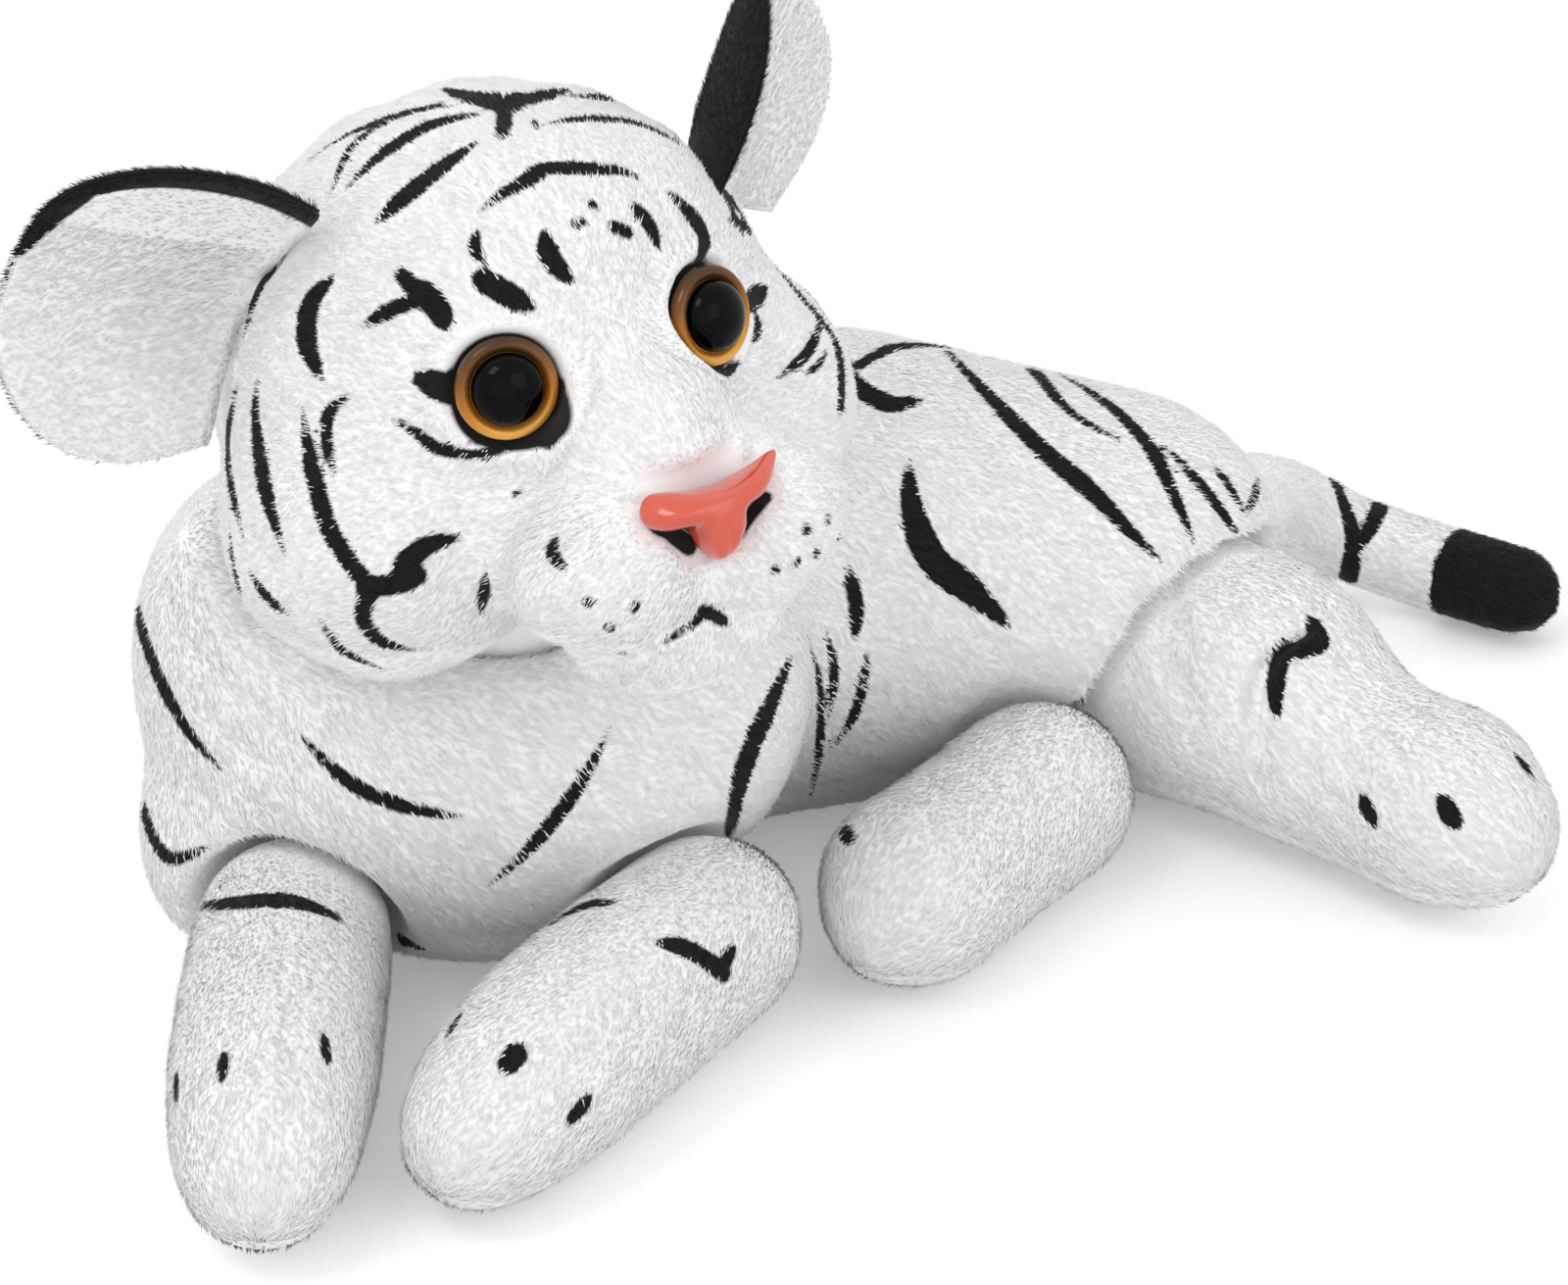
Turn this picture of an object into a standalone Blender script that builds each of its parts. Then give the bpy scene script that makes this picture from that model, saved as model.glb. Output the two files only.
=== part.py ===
"""Lying white plush tiger: cloth skins over stuffing, with hinged limbs, neck, tail and ears."""

from math import cos, pi, radians, sin, tan

import bmesh
import bpy
import numpy as np
from mathutils import Matrix, Vector
from mathutils.bvhtree import BVHTree

# Cloth and clearances
SKIN_WALL = 0.0030
GAP = 0.0004
STUFFING_GAP = 0.0008
LEG_CLEARANCE = 0.0013
TAIL_CLEARANCE = 0.0017
HEAD_CLEARANCE = 0.0017
OVERRUN = 0.0200
FLAT_DEPTH = 0.0005
BLEND_STEP = 0.0028

# Torso, bent from the chest at the front to the hips at the side
TORSO_LENGTH = 0.200
TORSO_WIDTH = 0.150
TORSO_HEIGHT = 0.124
BELLY_REST_SHARES = (-0.284, 0.102)
TORSO_SPINE_SHARES = (
    (-0.350, -0.060, 0.49, 0.490, 0.380, 0.50),
    (-0.300, 0.100, 0.50, 0.490, 0.400, 0.51),
    (-0.160, 0.240, 0.50, 0.460, 0.390, 0.51),
    (0.060, 0.310, 0.48, 0.375, 0.370, 0.49),
    (0.230, 0.340, 0.44, 0.320, 0.335, 0.45),
    (0.390, 0.370, 0.40, 0.330, 0.310, 0.41),
)
SHOULDER_SHARES = (
    (-0.550, -0.050, 0.57, 0.260, 0.300, 0.41),
    (-0.575, -0.110, 0.28, 0.225, 0.230, 0.29),
    (-0.150, -0.050, 0.54, 0.260, 0.290, 0.40),
)

# Head, in its own frame: +X is the animal's left, -Y is the face
HEAD_WIDTH = 0.132
HEAD_DEPTH = 0.134
HEAD_HEIGHT = 0.128
HEAD_ABOVE_TORSO = 0.029
HEAD_PLACE_SHARES = (-0.298, -0.142)
HEAD_TURN = radians(31)
HEAD_LIFT = radians(9)
HEAD_TILT = radians(6.5)
HEAD_LUMP_SHARES = (
    (0.0, 0.02, 0.02, 0.48, 0.46, 0.445),
    (0.0, -0.16, 0.18, 0.36, 0.28, 0.26),
    (0.285, -0.07, -0.17, 0.275, 0.31, 0.28),
    (0.0, -0.40, -0.07, 0.18, 0.22, 0.19),
    (0.125, -0.51, -0.21, 0.185, 0.165, 0.150),
    (0.0, -0.44, -0.36, 0.20, 0.180, 0.130),
)

# Neck ball between the torso and the head
NECK_DIAMETER = 0.046
NECK_DROP = 0.054
BALL_FLAT_SHARE = 0.980
NECK_TURN_RANGE = (radians(-25), radians(25))
HEAD_NOD_RANGE = (radians(-4), radians(10))

# Front legs
FRONT_LEG_LENGTH = 0.077
FRONT_LEG_DIAMETER = 0.052
FRONT_LEG_SHARES = (
    (0.0, 0.0, 0.475),
    (0.40, 0.01, 0.48),
    (0.75, 0.0, 0.475),
    (1.0, -0.03, 0.43),
    (1.12, -0.06, 0.37),
)
FRONT_ROOT_SHARES = {"right": (-0.541, -0.255), "left": (-0.088, -0.250)}
FRONT_HEADING = {"right": radians(-88), "left": radians(-121.5)}
FRONT_SWING_RANGE = {"right": (radians(-18), 0.0), "left": (0.0, radians(28))}

# Hind legs, both laid out on the animal's left
HIND_RIGHT_LENGTH = 0.053
HIND_RIGHT_DIAMETER = 0.050
HIND_RIGHT_SHARES = (
    (0.0, 0.0, 0.50),
    (0.5, 0.0, 0.48),
    (1.0, 0.0, 0.50),
    (1.16, -0.07, 0.36),
)
HIND_RIGHT_ROOT_SHARES = (0.300, 0.060)
HIND_RIGHT_HEADING = radians(-125)
HIND_RIGHT_SWING_RANGE = (0.0, radians(22))
HIND_LEFT_LENGTH = 0.082
HIND_LEFT_DIAMETER = 0.052
HIND_LEFT_SHARES = (
    (0.0, 0.0, 0.70),
    (0.30, 0.03, 0.66),
    (0.62, -0.14, 0.52),
    (0.80, -0.16, 0.49),
    (1.0, -0.16, 0.51),
    (1.12, -0.20, 0.42),
)
HIND_LEFT_ROOT_SHARES = (0.475, 0.300)
HIND_LEFT_ROOT_RISE_SHARE = 0.92
HIND_LEFT_HEADING = radians(-45)
HIND_LEFT_SWING_RANGE = (0.0, radians(18))
MOUTH_SHARE = 0.62

# Tail, laid in an arc behind the hips
TAIL_LENGTH = 0.144
TAIL_DIAMETER = 0.029
TAIL_ROOT_SHARES = (0.560, 0.545)
TAIL_ROOT_RISE = 0.034
TAIL_PATH_SHARES = (
    (0.0, 0.0, 1.0),
    (0.06, 0.16, 0.92),
    (0.14, 0.29, 0.62),
    (0.27, 0.36, 0.18),
    (0.42, 0.33, 0.0),
    (0.57, 0.22, 0.0),
)
TAIL_SWING_RANGE = (radians(-14), radians(14))

# Ears, cupped, each of a lining and a back panel
EAR_WIDTH = 0.069
EAR_LENGTH = 0.046
EAR_CUP_DEPTH = 0.016
EAR_WALL = 0.0024
EAR_SINK = 0.0075
EAR_SLOT_DEPTH = 0.0040
EAR_SLOT_PLAY = 0.0002
EAR_SLOT_END_PLAY = 0.0012
EAR_SLOT_SPREAD = radians(9.5)
EAR_SLOT_ROWS = 3
EAR_PLACE_SHARES = {"left": (0.43, 0.04, 0.18), "right": (0.43, 0.04, 0.24)}
EAR_RISE = {"left": radians(64), "right": radians(30)}
EAR_SWIVEL = {"left": radians(46), "right": radians(24)}
EAR_FOLD_RANGE = (radians(-8), radians(8))
EAR_ACROSS = 8
EAR_ALONG = 6
EAR_ROOT_SHARE = 0.84
EAR_WIDEST_SHARE = 0.42
EAR_TIP_SHARE = 0.985
EAR_TIP_CURL_SHARE = 0.35
EAR_ROUNDNESS = 2.3
EAR_ROW_EASE = 1.7

# Eyes
EYE_DIAMETER = 0.0215
EYE_RING_HEIGHT = 0.0036
EYE_RING_ROUND_SHARES = ((0.35, 1.0), (0.80, 0.78), (1.0, 0.35))
EYE_RECESS = 0.0012
PUPIL_DIAMETER = 0.0150
PUPIL_HEIGHT = 0.0052
PUPIL_FULLNESS = 0.9
PUPIL_SKIRT_SHARE = 0.15
EYE_SPREAD = radians(24)
EYE_SPLAY = radians(16)
EYE_RISE = radians(10.5)
EYE_TIP_UP = radians(4)
EYE_SINK = 0.0020
STEM_DIAMETER = 0.0050
STEM_LENGTH = 0.0100
WASHER_DIAMETER = 0.0150
WASHER_THICKNESS = 0.0014
WASHER_DEPTH = 0.0042

# Nose
NOSE_WIDTH = 0.0270
NOSE_HEIGHT = 0.0190
NOSE_DEPTH = 0.0090
NOSE_RISE = radians(-11)
NOSE_LEAN = radians(10)
NOSE_SINK = 0.0022
NOSTRIL_DIAMETER = 0.0040
NOSTRIL_PLACE_SHARES = (0.27, -0.12, 0.62)
NOSE_OUTLINE_SHARES = (
    (-0.50, 0.34), (-0.34, 0.50), (0.0, 0.44), (0.34, 0.50), (0.50, 0.34),
    (0.44, 0.06), (0.20, -0.22), (0.09, -0.50), (-0.09, -0.50), (-0.20, -0.22), (-0.44, 0.06),
)
NOSE_ROUND_SHARES = ((0.0, 0.86), (0.45, 1.0), (0.80, 0.84), (1.0, 0.46))

COLOURS = {
    "white_plush": (0.86, 0.87, 0.88, 0.95, 0.0),
    "ear_plush": (0.10, 0.10, 0.11, 0.95, 0.0),
    "stuffing": (0.80, 0.79, 0.76, 1.0, 0.0),
    "amber_plastic": (0.50, 0.24, 0.03, 0.20, 0.0),
    "black_plastic": (0.01, 0.01, 0.01, 0.08, 0.0),
    "coral_plastic": (0.62, 0.20, 0.15, 0.35, 0.0),
    "washer_plastic": (0.75, 0.75, 0.75, 0.45, 0.0),
}


def clear_scene():
    """Remove every object that the file starts with."""
    for old in list(bpy.data.objects):
        bpy.data.objects.remove(old, do_unlink=True)


def material(name):
    """Return the named finish, made once."""
    found = bpy.data.materials.get(name)
    if found:
        return found
    red, green, blue, rough, metal = COLOURS[name]
    made = bpy.data.materials.new(name)
    made.use_nodes = True
    shader = made.node_tree.nodes["Principled BSDF"]
    shader.inputs["Base Color"].default_value = (red, green, blue, 1)
    shader.inputs["Roughness"].default_value = rough
    shader.inputs["Metallic"].default_value = metal
    made.diffuse_color = (red, green, blue, 1)
    return made


def object_from(bm, name):
    """Put a bmesh into a new object of that name."""
    mesh = bpy.data.meshes.new(name)
    bm.to_mesh(mesh)
    bm.free()
    obj = bpy.data.objects.new(name, mesh)
    bpy.context.collection.objects.link(obj)
    return obj


def bake(obj):
    """Replace an object's mesh by the one its modifiers give."""
    graph = bpy.context.evaluated_depsgraph_get()
    graph.update()
    mesh = bpy.data.meshes.new_from_object(obj.evaluated_get(graph))
    obj.modifiers.clear()
    obj.data = mesh
    return obj


def drop(*objects):
    """Remove tools that have done their cutting."""
    for obj in objects:
        bpy.data.objects.remove(obj, do_unlink=True)


def combine(obj, tool, operation):
    """Cut obj by tool, or join or intersect the two, with an exact Boolean."""
    tool.hide_render = True
    tool.display_type = "WIRE"
    step = obj.modifiers.new(operation.title(), "BOOLEAN")
    step.operation = operation
    step.solver = "EXACT"
    step.object = tool
    return bake(obj)


def cut(obj, *tools):
    """Cut obj by each tool in turn."""
    for tool in tools:
        combine(obj, tool, "DIFFERENCE")
    return obj


def lumps_from(shares, across, along, high):
    """Ellipsoids from rows of shares; a row off the middle plane gets its mirror image."""
    lumps = []
    for x, y, z, rx, ry, rz in shares:
        for side in (1, -1) if x else (1,):
            centre = Vector((side * x * across, y * along, z * high))
            lumps.append((centre, Vector((rx * across, ry * along, rz * high)), Matrix()))
    return lumps


def moved(lumps, matrix):
    """The same ellipsoids after a rigid move."""
    turn = matrix.to_quaternion().to_matrix().to_4x4()
    return [(matrix @ centre, radii, turn @ held) for centre, radii, held in lumps]


def between(lumps, steps):
    """Ellipsoids with more set evenly between each two, so that they blend without waists."""
    out = [lumps[0]]
    for (c0, r0, turn), (c1, r1, _) in zip(lumps, lumps[1:]):
        for k in range(1, steps + 1):
            out.append((c0.lerp(c1, k / steps), r0.lerp(r1, k / steps), turn))
    return out


def about(point, axis, angle):
    """Rotation about an axis through a point."""
    there = Matrix.Translation(point)
    return there @ Matrix.Rotation(angle, 4, axis) @ there.inverted()


def form(name, lumps, inset, faces, eases=8):
    """Blend ellipsoids, each drawn in by the inset, into one closed skin of about so many faces."""
    bm = bmesh.new()
    for centre, radii, turn in lumps:
        ball = bmesh.ops.create_icosphere(bm, subdivisions=3, radius=1)["verts"]
        size = Matrix.Diagonal([r - inset for r in radii]).to_4x4()
        place = Matrix.Translation(centre) @ turn @ size
        bmesh.ops.transform(bm, matrix=place, verts=ball)
    obj = object_from(bm, name)
    union = obj.modifiers.new("Blend", "REMESH")
    union.mode = "VOXEL"
    union.voxel_size = BLEND_STEP
    ease = obj.modifiers.new("Ease", "SMOOTH")
    ease.factor = 0.5
    ease.iterations = eases
    bake(obj)
    thin = obj.modifiers.new("Facets", "DECIMATE")
    thin.ratio = faces / (2 * len(obj.data.polygons))
    return bake(obj)


def grown(obj, distance, name):
    """A copy of a form with each corner moved out along its normal."""
    bm = bmesh.new()
    bm.from_mesh(obj.data)
    bm.normal_update()
    for vert, normal in [(v, v.normal.copy()) for v in bm.verts]:
        vert.co += normal * distance
    return object_from(bm, name)


def facet_ball(name, centre, radius):
    """Ball of flat facets, the same all round."""
    bm = bmesh.new()
    bmesh.ops.create_icosphere(bm, subdivisions=3, radius=radius)
    bmesh.ops.translate(bm, vec=centre, verts=bm.verts)
    return object_from(bm, name)


def lowest(obj):
    """Height of an object's lowest corner."""
    return min(v.co.z for v in obj.data.vertices)


def floor_block(reach):
    """Block below the floor plane, out to the given reach."""
    bm = bmesh.new()
    bmesh.ops.create_cube(bm, size=2)
    half = Matrix.Diagonal((reach, reach, reach / 2)).to_4x4()
    bmesh.ops.transform(bm, matrix=Matrix.Translation((0, 0, -reach / 2)) @ half, verts=bm.verts)
    return object_from(bm, "floor_cutter")


def turned(name, profile, segments, frame=None):
    """Closed solid of revolution from (radius, height) points, listed from top to bottom."""
    bm = bmesh.new()
    rings = []
    for radius, height in profile:
        if radius == 0:
            rings.append([bm.verts.new((0, 0, height))])
            continue
        ring = []
        for k in range(segments):
            angle = 2 * pi * k / segments
            ring.append(bm.verts.new((radius * cos(angle), radius * sin(angle), height)))
        rings.append(ring)
    pairs = list(zip(rings, rings[1:]))
    if len(rings[0]) > 1:
        pairs.append((rings[-1], rings[0]))
    for upper, lower in pairs:
        for k in range(segments):
            after = (k + 1) % segments
            if len(upper) == 1:
                bm.faces.new((upper[0], lower[k], lower[after]))
            elif len(lower) == 1:
                bm.faces.new((upper[k], lower[0], upper[after]))
            else:
                bm.faces.new((upper[k], lower[k], lower[after], upper[after]))
    bmesh.ops.recalc_face_normals(bm, faces=bm.faces)
    if frame is not None:
        bmesh.ops.transform(bm, matrix=frame, verts=bm.verts)
    return object_from(bm, name)


def plug(name, radius, top, bottom, frame, segments=12):
    """Plain cylinder between two heights in the given frame."""
    return turned(name, ((0, top), (radius, top), (radius, bottom), (0, bottom)), segments, frame)


def facing(point, outward, upward):
    """Frame at a point with its +Z outward and its +Y near the given up direction."""
    z = outward.normalized()
    x = upward.cross(z).normalized()
    y = z.cross(x)
    frame = Matrix((x, y, z)).transposed().to_4x4()
    frame.translation = point
    return frame


def surface_hit(obj, start, direction):
    """Where a ray from inside a form leaves it."""
    tree = BVHTree.FromPolygons(
        [v.co for v in obj.data.vertices], [p.vertices for p in obj.data.polygons]
    )
    here = start.copy()
    last = None
    for _ in range(8):
        hit = tree.ray_cast(here, direction)[0]
        if hit is None:
            break
        last = hit
        here = hit + direction * GAP
    return last


def finish(obj, name, look, pivot=None, smooth=radians(50)):
    """Name a finished piece, give it its finish and put its origin on its pivot."""
    obj.name = name
    obj.data.name = name
    obj.data.materials.clear()
    obj.data.materials.append(material(look))
    if pivot is not None:
        obj.data.transform(Matrix.Translation(-pivot))
        obj.location = pivot
    obj.data.shade_smooth()
    obj.data.set_sharp_from_angle(angle=smooth)
    return obj


def path_lumps(points, radii, steps):
    """Balls along a path, close enough together to blend into a limb."""
    points = np.array(points)
    at = np.linspace(0, len(points) - 1, steps * (len(points) - 1) + 1)
    index = np.arange(len(points))
    spread = [np.interp(at, index, points[:, k]) for k in range(3)]
    sizes = np.interp(at, index, radii)
    lumps = []
    for x, y, z, radius in zip(*spread, sizes):
        lumps.append((Vector((x, y, z)), Vector((radius, radius, radius)), Matrix()))
    return lumps


class Limb:
    """A stuffed limb: skin and stuffing on a ball root, hinged on the torso."""

    def __init__(self, name, lumps, pivot, span, root_radius, faces):
        self.name = name
        outer = form(name + "_outer", lumps, 0, faces)
        lift = -FLAT_DEPTH - lowest(outer)
        shift = Matrix.Translation((0, 0, lift))
        outer.data.transform(shift)
        self.outer = outer
        self.lumps = moved(lumps, shift)
        self.pivot = pivot + Vector((0, 0, lift))
        self.span = span
        self.root_radius = root_radius
        self.faces = faces

    def swept(self, clearance, stops=5):
        """The room that the limb takes up over its whole swing, with clearance."""
        lumps = []
        for angle in np.linspace(self.span[0], self.span[1], stops):
            lumps += moved(self.lumps, about(self.pivot, Vector((0, 0, 1)), float(angle)))
        return form(self.name + "_swing", lumps, -clearance, self.faces * 2 // 3)

    def build(self, mouth, floor):
        """Shell the skin, fill it, open its root towards the mouth point and seat both."""
        inner = form(self.name + "_fill", self.lumps, SKIN_WALL + STUFFING_GAP, self.faces // 3, eases=14)
        hollow = grown(inner, STUFFING_GAP, self.name + "_hollow")
        skin = cut(self.outer, hollow)
        reach = self.root_radius + OVERRUN
        frame = facing(self.pivot, mouth - self.pivot, Vector((0, 0, 1)))
        opening = plug(self.name + "_mouth", self.root_radius * MOUTH_SHARE, reach, 0, frame)
        cut(skin, opening, floor)
        drop(hollow, opening)
        finish(skin, self.name + "_skin", "white_plush", self.pivot)
        finish(inner, self.name + "_stuffing", "stuffing", self.pivot)
        return skin, inner


def limb_lumps(shares, length, diameter, root, heading):
    """Balls of a leg from (along, up, radius) shares of its length and diameter."""
    ahead = Vector((cos(heading), sin(heading), 0))
    points = []
    radii = []
    for along, rise, radius in shares:
        points.append(root + ahead * (along * length) + Vector((0, 0, rise * diameter)))
        radii.append(radius * diameter)
    return path_lumps([tuple(p) for p in points], radii, 4)


def torso_rows(rows):
    """Ellipsoids of the torso from rows of shares."""
    lumps = []
    for x, y, z, rx, ry, rz in rows:
        centre = on_torso((x, y), z * TORSO_HEIGHT)
        radii = Vector((rx * TORSO_WIDTH, ry * TORSO_WIDTH, rz * TORSO_HEIGHT))
        lumps.append((centre, radii, Matrix()))
    return lumps


def on_torso(shares, height):
    """A place on the floor plan of the torso, measured from the belly's rest, at a height."""
    x, y = shares[0] - BELLY_REST_SHARES[0], shares[1] - BELLY_REST_SHARES[1]
    return Vector((x * TORSO_LENGTH, y * TORSO_LENGTH, height))


def make_limbs():
    """The four legs and the tail as outer forms on their hinges."""
    limbs = {}
    for side in ("right", "left"):
        root = on_torso(FRONT_ROOT_SHARES[side], FRONT_LEG_DIAMETER / 2)
        lumps = limb_lumps(
            FRONT_LEG_SHARES, FRONT_LEG_LENGTH, FRONT_LEG_DIAMETER, root, FRONT_HEADING[side]
        )
        limbs["front_" + side] = Limb(
            "front_" + side + "_leg", lumps, root, FRONT_SWING_RANGE[side], FRONT_LEG_DIAMETER / 2, 460
        )
    root = on_torso(HIND_RIGHT_ROOT_SHARES, HIND_RIGHT_DIAMETER / 2)
    lumps = limb_lumps(
        HIND_RIGHT_SHARES, HIND_RIGHT_LENGTH, HIND_RIGHT_DIAMETER, root, HIND_RIGHT_HEADING
    )
    limbs["hind_right"] = Limb(
        "hind_right_leg", lumps, root, HIND_RIGHT_SWING_RANGE, HIND_RIGHT_DIAMETER / 2, 460
    )
    root = on_torso(HIND_LEFT_ROOT_SHARES, HIND_LEFT_ROOT_RISE_SHARE * HIND_LEFT_DIAMETER)
    lumps = limb_lumps(HIND_LEFT_SHARES, HIND_LEFT_LENGTH, HIND_LEFT_DIAMETER, root, HIND_LEFT_HEADING)
    thigh = HIND_LEFT_SHARES[0][2] * HIND_LEFT_DIAMETER
    limbs["hind_left"] = Limb("hind_left_leg", lumps, root, HIND_LEFT_SWING_RANGE, thigh, 540)
    root = on_torso(TAIL_ROOT_SHARES, TAIL_DIAMETER / 2 + TAIL_ROOT_RISE)
    points = []
    for x, y, rise in TAIL_PATH_SHARES:
        height = TAIL_DIAMETER / 2 + rise * TAIL_ROOT_RISE
        points.append((root.x + x * TAIL_LENGTH, root.y + y * TAIL_LENGTH, height))
    lumps = path_lumps(points, [TAIL_DIAMETER / 2] * len(points), 6)
    limbs["tail"] = Limb("tail", lumps, root, TAIL_SWING_RANGE, TAIL_DIAMETER / 2, 300)
    return limbs


def sheet(name, grid, near, far):
    """Closed sheet between two offsets from a grid of points, each one for all rows or one a row."""
    rows, columns = len(grid), len(grid[0])
    flat = np.array([[tuple(p) for p in row] for row in grid])
    along = np.gradient(flat, axis=0)
    across = np.gradient(flat, axis=1)
    normals = np.cross(across, along)
    normals /= np.linalg.norm(normals, axis=2, keepdims=True)
    bm = bmesh.new()
    layers = []
    for offset in (near, far):
        reach = np.broadcast_to(np.array(offset, dtype=float).reshape(-1, 1, 1), (rows, 1, 1))
        moved_grid = flat + normals * reach
        layers.append([[bm.verts.new(p) for p in row] for row in moved_grid])
    low, high = layers
    for layer in layers:
        for i in range(rows - 1):
            for j in range(columns - 1):
                bm.faces.new((layer[i][j], layer[i][j + 1], layer[i + 1][j + 1], layer[i + 1][j]))
    rim = [(0, j) for j in range(columns)] + [(i, columns - 1) for i in range(1, rows)]
    rim += [(rows - 1, j) for j in range(columns - 2, -1, -1)] + [(i, 0) for i in range(rows - 2, 0, -1)]
    for (i, j), (m, n) in zip(rim, rim[1:] + rim[:1]):
        bm.faces.new((low[i][j], low[m][n], high[m][n], high[i][j]))
    bmesh.ops.recalc_face_normals(bm, faces=bm.faces)
    return object_from(bm, name)


def ear_grid(base, outward, across, face, stops):
    """Points of an ear's middle surface, from its sunk root to its tip, across its cup."""
    reach = EAR_LENGTH + EAR_SINK
    grid = []
    for t in stops:
        t = min(t, EAR_TIP_SHARE)
        if t < EAR_WIDEST_SHARE:
            wide = EAR_ROOT_SHARE + (1 - EAR_ROOT_SHARE) * sin(pi / 2 * max(t, 0) / EAR_WIDEST_SHARE)
        else:
            past = (t - EAR_WIDEST_SHARE) / (1 - EAR_WIDEST_SHARE)
            wide = (1 - past ** EAR_ROUNDNESS) ** (1 / EAR_ROUNDNESS)
        row = []
        for j in range(EAR_ACROSS + 1):
            u = 2 * j / EAR_ACROSS - 1
            spot = base + outward * (t * reach - EAR_SINK)
            spot = spot + across * (u * wide * EAR_WIDTH / 2)
            cup = u * u * wide * wide + EAR_TIP_CURL_SHARE * max(t, 0) ** 2
            row.append(spot + face * (EAR_CUP_DEPTH * cup))
        grid.append(row)
    return grid


def row_at(grid, heights, level):
    """The straight blend of an ear's rows at a height, carried on below its root."""
    i = 1
    while i < len(heights) - 1 and heights[i] < level:
        i += 1
    share = (level - heights[i - 1]) / (heights[i] - heights[i - 1])
    return [low.lerp(high, share) for low, high in zip(grid[i - 1], grid[i])]


def make_ear(side, head_frame):
    """Lining, back panel and head slot of one ear, with its hinge line."""
    sign = 1 if side == "left" else -1
    turn = head_frame.to_3x3()
    x, y, z = EAR_PLACE_SHARES[side]
    base = head_frame @ Vector((sign * x * HEAD_WIDTH, y * HEAD_DEPTH, z * HEAD_HEIGHT))
    rise, swivel = EAR_RISE[side], EAR_SWIVEL[side]
    outward = turn @ Vector((sign * cos(rise), 0, sin(rise)))
    flat_across = turn @ Vector((-sign * sin(rise), 0, cos(rise)))
    ahead = turn @ Vector((0, -1, 0))
    spin = Matrix.Rotation(-sign * swivel, 3, outward)
    across, face = spin @ flat_across, spin @ ahead
    if face.dot(turn @ Vector((sign, 0, 0))) < 0:
        spin = Matrix.Rotation(sign * swivel, 3, outward)
        across, face = spin @ flat_across, spin @ ahead
    stops = [1 - (1 - i / EAR_ALONG) ** EAR_ROW_EASE for i in range(EAR_ALONG + 1)]
    grid = ear_grid(base, outward, across, face, stops)
    toward = (grid[1][1] - grid[1][0]).cross(grid[2][0] - grid[1][0])
    front = 1 if toward.dot(face) > 0 else -1
    lining = sheet("ear_lining_" + side, grid, front * GAP / 2, front * (GAP / 2 + EAR_WALL))
    back = sheet("ear_back_" + side, grid, -front * GAP / 2, -front * (GAP / 2 + EAR_WALL))

    # The slot is narrowest on the hinge line and opens both ways by the fold's range
    reach = EAR_LENGTH + EAR_SINK
    heights = [stop * reach - EAR_SINK for stop in stops]
    levels = [-EAR_SINK - EAR_SLOT_DEPTH, 0.0] + heights[1:EAR_SLOT_ROWS]
    slot_grid = [row_at(grid, heights, level) for level in levels]
    play = [EAR_WALL + GAP + EAR_SLOT_PLAY + abs(d) * tan(EAR_SLOT_SPREAD) for d in levels]
    for row, room in zip(slot_grid, play):
        spare = room - EAR_WALL + EAR_SLOT_END_PLAY
        row[0] = row[0] + (row[0] - row[1]).normalized() * spare
        row[-1] = row[-1] + (row[-1] - row[-2]).normalized() * spare
    slot = sheet("ear_slot_" + side, slot_grid, [-room for room in play], play)
    return lining, back, slot, base, across


def head_ray(head_frame, spread, rise):
    """Direction from the head's centre to a place on the face."""
    local = Vector((sin(spread) * cos(rise), -cos(spread) * cos(rise), sin(rise)))
    return head_frame.to_3x3() @ local


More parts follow.
